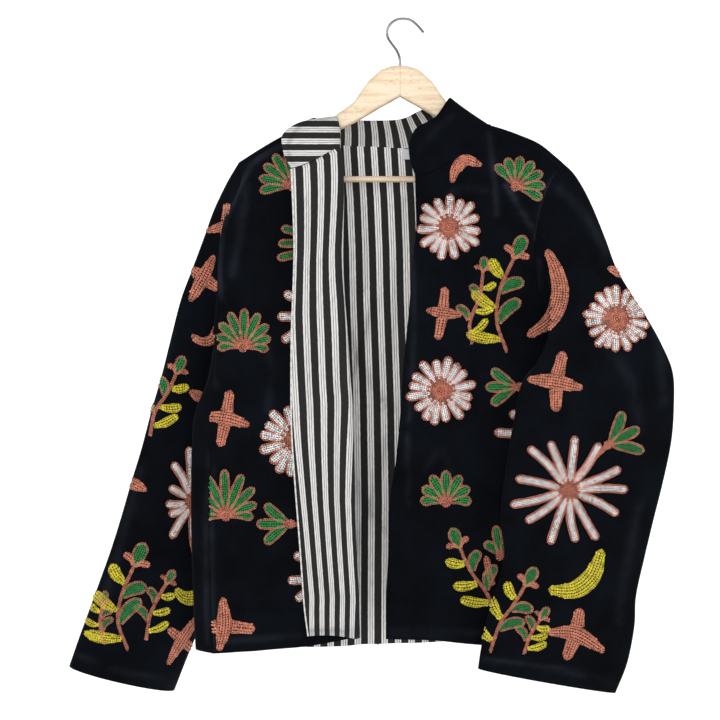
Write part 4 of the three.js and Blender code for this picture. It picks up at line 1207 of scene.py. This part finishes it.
def sprig(rows, path, size=1.0, lean=1):
    # a copper stem with leaves in turn on either side, yellow and green, and a green bud at its tip
    line = along(path)[0]
    stem(rows, path, sprigLook["stem"])

    def heading(step):
        # the angle of a step from straight up, in degrees
        return math.degrees(math.atan2(step[0], -step[1]))

    for i, share in enumerate(sprigLook["leavesAt"]):
        k = int(share * (len(line) - 1))
        way = heading(line[k + 1] - line[k])
        reach = size * (sprigLook["longest"] - sprigLook["less"] * i)
        colour, side = ("green", lean) if i % 2 else ("yellow", -lean)
        angle, bend, half = sprigLook[colour]
        blade(rows, spoke(line[k], way + side * angle, 2, reach, bend * lean), half * size, colour,
              "copper" if colour == "green" else None)
    ahead = heading(line[-1] - line[-8])
    angle, length, bend, half = sprigLook["sepal"]
    for side in (-1, 1):
        blade(rows, spoke(line[-1], ahead + angle * side, 0, length * size, bend * side),
              half * size, "copper", kind="drop")
    length, half = sprigLook["tip"]
    blade(rows, spoke(line[-1], ahead, 0, length * size), half * size, "green", "copper")


def strap(rows, path, half):
    # a green strip with a copper edge, even all along
    blade(rows, path, half, "green", "copper", "even")


crescent = (moon, [(547, 250), (556, 270), (560, 294), (551, 319), (528, 336)], 8.8)
frontLeftChart = [
    (fan, 293, 187, -8, 178, 9, 33, 38),
    (strap, [(314, 236), (282, 228)], 4.2),
    (strap, [(314, 243), (279, 243.5)], 4.2),
    (strap, [(314, 250), (278, 258)], 4.2),
    (aster, 321, 318, 42, 47, 11, -90, 4.8),
    (fan, 243, 348, 2, 182, 9, 25, 39, 4.9),
    (star, 226, 418, [(203, 416), (249, 425), (230, 391), (220, 446)]),
    (daisy, 296, 440, 38, 16, 6),
    (fan, 226, 517, -2, 184, 9, 27, 47, 5.0),
    (fan, 291, 524, -90, 74, 3, 32, 34, 5.6),
    (stem, [(290, 524), (312, 526)], 2.0),
    (aster, 331, 578, 46, 45, 11, -90, 4.6),
    (star, 224, 626, [(223, 598), (219, 650), (254, 629), (201, 628)], 7.4),
]
frontRightChart = [
    (bud, [(452, 182), (456, 169), (466, 160), (481, 165)], 6.0),
    (stem, [(458, 170), (465, 156)], 4.0),
    (fan, 515, 187, 36, 156, 7, 29, 31, 5.4),
    (daisy, 449, 227, 34),
    (sprig, [(507, 352), (497, 322), (500, 290), (514, 258)], 1.15),
    (sprig, [(472, 344), (470, 322), (480, 296), (483, 272)], 0.72, -1),
    (star, 443, 313, [(427, 310), (461, 315), (445, 288), (438, 339)], 5.8),
    (daisy, 441, 391, 35, 16, 10),
    (fan, 519, 387, -90, 66, 3, 32, 33, 5.6),
    (aster, 548, 436, 40, 54, 11, -90, 4.6),
    (fan, 446, 503, 0, 172, 7, 25, 32, 5.6),
    (sprig, [(496, 612), (486, 592), (470, 570), (460, 548)]),
    (stem, [(492, 585), (486, 557)], 3.2),
    (fan, 500, 556, -8, 86, 3, 20, 30, 5.0),
    crescent,
    (lobe, [(528, 379), (555, 382)], 7.6),
]
sleeveLeftChart = [
    (star, 226, 226, [(206, 231), (246, 222), (227, 204), (224, 248)], 5.4),
    (star, 203, 278, [(214, 256), (190, 301), (192, 269), (219, 289)]),
    (moon, [(192, 335), (200, 341), (211, 340), (218, 328), (222, 312)], 5.0),
    (sprig, [(150, 436), (155, 412), (168, 392), (176, 374)], 0.9, -1),
    (bud, [(190, 391), (208, 402)], 5.4),
    (bud, [(122, 478), (146, 490)], 5.8),
    (aster, 193, 502, 60, 27, 12, 0, 4.2),
    (moon, [(176, 589), (184, 597), (196, 597), (208, 586)], 7.0, "yellow"),
    (star, 182, 640, [(168, 664), (198, 616), (169, 629), (192, 650)], 5.6),
    (sprig, [(128, 650), (118, 622), (122, 594), (134, 566)], 1.18),
    (sprig, [(146, 640), (150, 616), (158, 598), (166, 584)], 0.74, -1),
    (sprig, [(104, 644), (100, 622), (103, 604)], 0.62),
]
sleeveRightChart = [
    crescent,
    (daisy, 617, 319, 34, 18),
    (bud, [(608, 268), (628, 276)], 4.6),
    (star, 556, 382, [(528, 379), (582, 388), (563, 352), (556, 411)], 7.6),
    (fan, 608, 445, 62, 76, 3, 36, 35, 5.8),
    (stem, [(572, 480), (590, 462), (607, 446)], 2.2),
    (aster, 569, 490, 57, 60, 13, 8),
    (moon, [(549, 590), (574, 590), (592, 576), (602, 550)], 9.2, "yellow"),
    (star, 576, 634, [(548, 632), (604, 651), (580, 609), (566, 659)], 7.6),
    (sprig, [(490, 652), (500, 624), (514, 604), (525, 586)]),
    (sprig, [(524, 654), (530, 636), (540, 620)], 0.7, -1),
]


def about(x, y, *steps):
    # places given by their steps from a middle
    return [(x + dx, y + dy) for dx, dy in steps]


backChart = [(daisy, x, y, r, 15 + x % 3, y % 23) for x, y, r in (
    (300, 175, 33), (410, 210, 35), (230, 330, 34), (480, 395, 35), (330, 480, 34),
    (455, 585, 34), (258, 552, 33), (360, 330, 34))]
backChart += [(fan, x, y, axis, 176, 8 + x % 2, 28, 39) for x, y, axis in (
    (235, 200, -10), (350, 262, 8), (470, 160, 12), (210, 452, 0), (403, 498, -4), (300, 612, 5),
    (503, 508, 10), (205, 600, -6))]
backChart += [(sprig, about(x, y, (-8 * s, 34), (6 * s, 12), (0, -12), (-10 * s, -34)), 1.05, s)
              for x, y, s in ((290, 400, 1), (440, 330, -1), (385, 600, 1), (505, 300, 1),
                              (270, 270, -1))]
for x, y in ((351, 158), (420, 430), (222, 505), (500, 230), (338, 545)):
    t = (x + y) % 17 - 8
    backChart.append((star, x, y, about(x, y, (-24, t / 3), (24, 3), (t / 2, -26), (-t / 2, 25))))
backChart += [(moon, about(x, y, (-20, 12), (-4, 14), (12, 2), (20, -18)), 8.0, colour)
              for x, y, colour in ((300, 330, "yellow"), (405, 146, "copper"),
                                   (466, 452, "yellow"), (412, 540, "copper"))]
backSplit = 380  # the back's stitches are two pieces, parted at this height in pixels


def sleeveBack(*centres):
    # down the hidden side of a sleeve, one motif after another about the given middles
    def motif(i, x, y):
        # the six kinds in turn
        return ((daisy, x, y, 33, 16, x % 19),
                (star, x, y, about(x, y, (-22, 3), (23, -3), (4, -26), (-3, 26))),
                (fan, x, y + 14, x % 15 - 7, 176, 8, 28, 38),
                (moon, about(x, y, (-18, 16), (0, 14), (14, 0), (18, -20)), 8.0, "yellow"),
                (sprig, about(x, y, (-6, 36), (5, 12), (0, -12), (-8, -30))),
                (aster, x, y, 44, 40, 12, x % 13))[i % 6]
    return [motif(i, x, y) for i, (x, y) in enumerate(centres)]


behind = {"middle": 360, "aside": 8}  # the picture column of the plane x = -8 mm, seen from behind


def toBack(points):
    # the same scale, seen from behind and without perspective
    scale = cameraPlace["mmPerPixel"]
    return np.stack([behind["middle"] - (points[..., 0] + behind["aside"]) / scale,
                     -points[..., 2] / scale], -1)


def closer(values, times):
    # a grid filled in by straight interpolation, first down its rows, then across
    for axis in (0, 1):
        n = values.shape[axis]
        at = np.linspace(0, n - 1, (n - 1) * times + 1)
        i = np.minimum(at.astype(int), n - 2)
        t = (at - i).reshape((-1, 1, 1) if axis == 0 else (1, -1, 1))
        values = np.take(values, i, axis) * (1 - t) + np.take(values, i + 1, axis) * t
    return values


def velvetSurface(name, viewer, looking):
    # the velvet's outer surface seen flat: for each half pixel, the surface point there, its
    # normal, and how the surface and its picture run along the grid's two directions
    grid, flip, ring = shell[name]
    points = grid + normals[name] * (halfGap(name) + cloth["velvet"])
    facing = normals[name]
    times, margin = stitching["closer"], stitching["margin"]
    if ring:
        points, facing = (np.concatenate([a, a[:, :1]], 1) for a in (points, facing))
    points, facing = closer(points, times), closer(facing, times)
    facing /= np.linalg.norm(facing, axis=2, keepdims=True)
    flat = viewer(points)
    pv, pu = np.gradient(points, axis=(0, 1))
    qv, qu = np.gradient(flat, axis=(0, 1))
    size = cameraPlace["pixels"] * 2
    key = np.round(flat * 2).astype(int)
    slant = stitching["slant" if looking > 0 else "slantBehind"]
    ok = (facing[..., 1] * looking < -slant) & (key >= 0).all(-1) & (key < size).all(-1)
    ok[:margin] = ok[-margin:] = False
    if not ring:
        ok[:, :margin] = ok[:, -margin:] = False
    if name == "front_left":  # the strip and its turn stay bare
        ok[:, :times * finer * (counts["strip"] + counts["fold"])] = False
    table = np.full((size, size), -1)
    index = np.arange(points.shape[0] * points.shape[1]).reshape(points.shape[:2])
    table[key[ok][:, 1], key[ok][:, 0]] = index[ok]
    return table, [a.reshape(-1, a.shape[-1]) for a in (points, facing, flat, pu, pv, qu, qv)]


def lay(rows, view):
    # stitches set evenly along the rows, then carried from the chart to the velvet by the inverse
    # of the picture's derivatives
    place, way, colour, wide = [], [], [], []
    rng = np.random.default_rng(stitching["seed"])
    for line, name, across in rows:
        run = lengths(line)
        short = stitching["step"] * min(1, 0.45 + 0.2 * across)
        count = max(int(round(run[-1] / short)), 1)
        at = (np.arange(count) + rng.uniform(0.15, 0.85)) / count * run[-1]
        a, b, c = (np.stack([np.interp(at + step, run, line[:, axis]) for axis in (0, 1)], 1)
                   for step in (0, 0.6, -0.6))
        place.append(a)
        swing = stitching["swing"] * rng.standard_normal((count, 1)).clip(-2, 2)
        way.append((b - c) + swing * (b - c)[:, ::-1] * [-1, 1])
        colour.append(np.repeat([yarn[name]], count, 0))
        wide.append(np.full((count, 2), (across, short)))
    place, way, colour, wide = (np.concatenate(v) for v in (place, way, colour, wide))
    table, (points, facing, flat, pu, pv, qu, qv) = view
    key = np.round(place * 2).astype(int).clip(1, table.shape[0] - 2)
    found = table[key[:, 1], key[:, 0]]
    for dx, dy in ((1, 0), (-1, 0), (0, 1), (0, -1), (1, 1), (-1, -1), (1, -1), (-1, 1)):
        found = np.where(found < 0, table[key[:, 1] + dy, key[:, 0] + dx], found)
    ok = (found >= 0) & (np.linalg.norm(way, axis=1) > 1e-6)
    place, way, colour, wide, found = (v[ok] for v in (place, way, colour, wide, found))
    inverse = np.linalg.inv(np.stack([qu[found], qv[found]], 2))

    def onSurface(flatStep):
        # a flat step as one on the velvet
        share = np.einsum("nij,nj->ni", inverse, flatStep)
        return share[:, :1] * pu[found] + share[:, 1:] * pv[found]

    def stretched(step):
        # how much longer a flat step is on the velvet than in the chart
        longer = np.linalg.norm(onSurface(step), axis=1) / np.linalg.norm(step, axis=1)
        return longer.clip(1.0, 2.2)[:, None]

    spot = points[found] + onSurface((place - flat[found]).clip(-0.6, 0.6))
    ahead = onSurface(way)
    ahead /= np.linalg.norm(ahead, axis=1, keepdims=True)
    long = stretched(way) * wide[:, 1:] * stitching["longer"]
    broad = stretched(np.stack([-way[:, 1], way[:, 0]], 1)) * wide[:, :1] * stitching["wider"]
    return spot, ahead, facing[found], colour, long, broad


def grainShape():
    # one chain stitch: two plump grains that start together and lie apart, each a double pyramid;
    # and the painted light on each of its points, from painted shade between the grains to a
    # painted highlight at the top
    points, faces = [], []
    for k, side in enumerate((-1, 1)):
        points += [(-0.52, side * 0.08, 0.1), (0.50, side * 0.32, 0.1), (-0.02, side * 0.03, 0.0),
                   (-0.02, side * 0.48, 0.0), (0.0, side * 0.25, 1.0), (0.0, side * 0.25, -0.5)]
        for start, end in ((0, 2), (2, 1), (1, 3), (3, 0)):
            faces.append((6 * k + start, 6 * k + end, 6 * k + 4))
        for start, end in ((2, 0), (1, 2), (3, 1), (0, 3)):
            faces.append((6 * k + start, 6 * k + end, 6 * k + 5))
    points, faces = np.array(points), np.array(faces)
    a, b, c = (points[faces[:, i]] for i in range(3))
    middle = np.repeat([points[:6].mean(0), points[6:].mean(0)], 8, 0)
    inwards = (np.cross(b - a, c - a) * ((a + b + c) / 3 - middle)).sum(1) < 0
    faces[inwards] = faces[inwards][:, [0, 2, 1]]
    return points, faces, np.array([0.40, 0.48, 0.62, 0.76, 1.22, 0.3] * 2)


def stitchPiece(name, laid):
    # every stitch is the same shape, scaled and set along its row on the velvet, with a slight
    # tone of its own that differs at random, times the shade and highlight painted on its points
    spot, ahead, up, colour, long, broad = laid
    rng = np.random.default_rng(stitching["seed"])
    aside = np.cross(up, ahead)
    grain, faces, light = grainShape()
    number = len(spot)
    size = 1 + stitching["uneven"] * rng.standard_normal((number, 1)).clip(-2, 2)
    points = (spot[:, None] + grain[:, :1] * (ahead * long * size)[:, None]
              + grain[:, 1:2] * (aside * broad * size)[:, None]
              + grain[:, 2:] * (up * stitching["height"])[:, None])
    every = faces[None] + len(grain) * np.arange(number)[:, None, None]
    piece = newMesh(name, points.reshape(-1, 3), every.reshape(-1, 3), smoothFaces=False)
    isWhite = colour.min(1) > 0.5
    spread = np.where(isWhite, stitching["whiteShade"], stitching["shade"])[:, None]
    # light holds the painted shade and highlight of each point of a stitch; the random tone
    # multiplies it
    shade = (1 + spread * rng.standard_normal((number, 1))).clip(0.45, 1.3) * light
    shadedThread = np.concatenate([(colour[:, None] * shade[..., None]).clip(0, 1),
                           np.ones((number, len(grain), 1))], 2)
    piece.data.attributes.new("threadWithPaintedShade", "FLOAT_COLOR", "POINT").data.foreach_set(
        "color", shadedThread.astype(np.float32).ravel())
    print(name, number, "stitches", len(every) * len(faces), "triangles")
    return piece


def makeYarn():
    # the thread's colour, carrying painted shade and highlight, uneven along fine strands
    look = Look("yarn", {"Roughness": 0.6, "Sheen Weight": 0.12, "Sheen Roughness": 0.4,
                         "Specular IOR Level": 0.3})
    strands = look.noise(look.place(), 1700.0, 2.0)
    tone = look.spread(strands, 0.3, 0.7, 0.82, 1.12)
    return look.finish(look.scaled(look.attribute("threadWithPaintedShade", "Color"), tone), strands, 0.5, 0.0004)


yarnMaterial = makeYarn()
charts = {  # the panel, how it is seen, and its motifs
    "stitches_front_left": ("front_left", toPixels, frontLeftChart),
    "stitches_front_right": ("front_right", toPixels, frontRightChart),
    "stitches_sleeve_left": ("sleeve_left", toPixels, sleeveLeftChart),
    "stitches_sleeve_right": ("sleeve_right", toPixels, sleeveRightChart),
    "stitches_back_upper": ("back", toBack, backChart),
    "stitches_back_lower": ("back", toBack, backChart),
    "stitches_sleeve_left_back": ("sleeve_left", toBack, sleeveBack(
        (556, 332), (573, 398), (580, 452), (598, 522), (616, 580))),
    "stitches_sleeve_right_back": ("sleeve_right", toBack, sleeveBack(
        (188, 262), (176, 326), (160, 392), (186, 452), (178, 520), (200, 600))),
}
for name, (panel, viewer, chart) in charts.items():
    rows = []
    for motif, *places in chart:
        motif(rows, *places)
    if panel == "back":
        rows = [row for row in rows if (row[0][:, 1].mean() < backSplit) == name.endswith("upper")]
    looking = 1 if viewer is toPixels else -1
    piece = stitchPiece(name, lay(rows, velvetSurface(panel, viewer, looking)))
    piece.data.materials.append(yarnMaterial)
    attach(piece, "root")
print("embroidery laid")

# the hanger and the tag keep the solids' own meshes
timberLook = {"pale": srgb(199, 182, 157), "deep": srgb(186, 163, 133), "fleck": srgb(134, 100, 68),
              "turn": 0.5, "grain": (14, 40, 190), "flecks": (150, 300, 620), "mitre": -0.0052,
              "mitreWidth": 0.0004, "mitreDark": 0.45}


def makeTimber(name, tone):
    # pale wood: long faint grain, short darker flecks, and the fine line where the halves meet, all
    # times tone, which paints shade where it is below 1
    look = Look(name, {"Roughness": 0.42, "Specular IOR Level": 0.35, "Coat Weight": 0.12,
                       "Coat Roughness": 0.25})
    place, dark = look.place(), (*timberLook["fleck"], 1)
    grain = look.streaks(place, timberLook["grain"], 5.0, timberLook["turn"])
    tones = look.ramp(grain, [(0.38, timberLook["deep"]), (0.58, timberLook["pale"])])
    fleck = look.streaks(place, timberLook["flecks"], 2.0, timberLook["turn"])
    flecked = look.mix(look.spread(fleck, 0.60, 0.72, 0.0, 0.55), tones, dark)
    away = look.math("ABSOLUTE", look.math("SUBTRACT", look.axis(place, "X"), timberLook["mitre"]))
    near = look.math("LESS_THAN", away, timberLook["mitreWidth"])
    joined = look.mix(look.math("MULTIPLY", near, timberLook["mitreDark"]), flecked, dark)
    return look.finish(look.scaled(joined, tone), grain, 0.15, 0.0004)


def makeSteel():
    # polished wire, slightly uneven
    look = Look("steel", {"Metallic": 1.0, "Base Color": (0.2, 0.2, 0.205, 1)})
    wear = look.noise(look.place(), 260.0, 3.0)
    look.links.new(look.spread(wear, 0.0, 1.0, 0.12, 0.26), look.surface.inputs["Roughness"])
    return look.material


def makeTape():
    # plain woven tape without lettering
    look = Look("tape", {"Roughness": 0.8, "Sheen Weight": 0.1})
    weave = look.node("TexWave", {"Vector": look.place(), "Scale": 700.0, "Distortion": 1.0}, "Fac",
                      bands_direction="Z")
    return look.finish(look.ramp(weave, [(0.0, srgb(160, 163, 162)), (1.0, srgb(186, 189, 188))]))


# the bar's wood is painted 0.84 times as dark, as painted shade under the board
for name, material in {"hanger_board": makeTimber("timber", 1.0),
                       "hanger_bar": makeTimber("bar_timber_painted_shade", 0.84),
                       "hanger_hook": makeSteel(), "neck_tag": makeTape()}.items():
    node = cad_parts[name]
    node.data.materials.clear()
    node.data.materials.append(material)
print("hanger and tag covered")

# a cord along the strip's outer edge, in mm; its colours stand at shares of a stitch's length
piping = {"radius": 1.15, "outwards": 0.7, "sides": 8, "steps": 220, "stitch": 3.6,
          "pale": srgb(190, 188, 185), "dark": srgb(118, 114, 110), "bright": srgb(205, 203, 200)}
pipingStops = [(0.0, "pale"), (0.74, "pale"), (0.80, "dark"), (0.94, "dark"), (1.0, "bright")]


def makePiping():
    # rings about the edge's own line, moved a little outwards, with dark stitches along it
    grid = shell["front_left"][0]
    outwards = grid[:, 0] - grid[:, 1]
    line = evenly(grid[:, 0] + piping["outwards"] * outwards
                  / np.linalg.norm(outwards, axis=1, keepdims=True), piping["steps"])
    ahead = np.gradient(line, axis=0)
    ahead /= np.linalg.norm(ahead, axis=1, keepdims=True)
    aside = np.cross(ahead, [0, 1, 0])
    aside /= np.linalg.norm(aside, axis=1, keepdims=True)
    up = np.cross(aside, ahead)
    turn = np.arange(piping["sides"])[None, :, None] / piping["sides"] * 2 * np.pi
    rings = line[:, None] + piping["radius"] * (np.cos(turn) * aside[:, None]
                                                + np.sin(turn) * up[:, None])
    rows, cols = rings.shape[:2]
    r, c = (a.ravel() for a in np.meshgrid(np.arange(rows - 1), np.arange(cols), indexing="ij"))
    faces = np.stack([r * cols + c, r * cols + (c + 1) % cols, (r + 1) * cols + (c + 1) % cols,
                      (r + 1) * cols + c], 1)
    a, b, d = (rings.reshape(-1, 3)[faces[0, i]] for i in (0, 1, 3))
    if np.cross(b - a, d - a) @ (a - line[0]) < 0:
        faces = faces[:, ::-1]
    run = lengths(line) / 1000
    uv = np.stack([np.stack([c, c + 1, c + 1, c], 1) / cols,
                   run[np.stack([r, r, r + 1, r + 1], 1)]], -1)
    piece = newMesh("edge_piping", rings.reshape(-1, 3), faces, uv)
    look = Look("piping", {"Roughness": 0.75, "Sheen Weight": 0.1})
    place = look.axis(look.node("UVMap", uv_map="cloth"), "Y")
    part = look.math("FRACT", look.math("DIVIDE", place, piping["stitch"] / 1000))
    piece.data.materials.append(look.finish(look.ramp(
        part, [(at, piping[colour]) for at, colour in pipingStops])))
    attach(piece, "root")


makePiping()
print("piping laid")
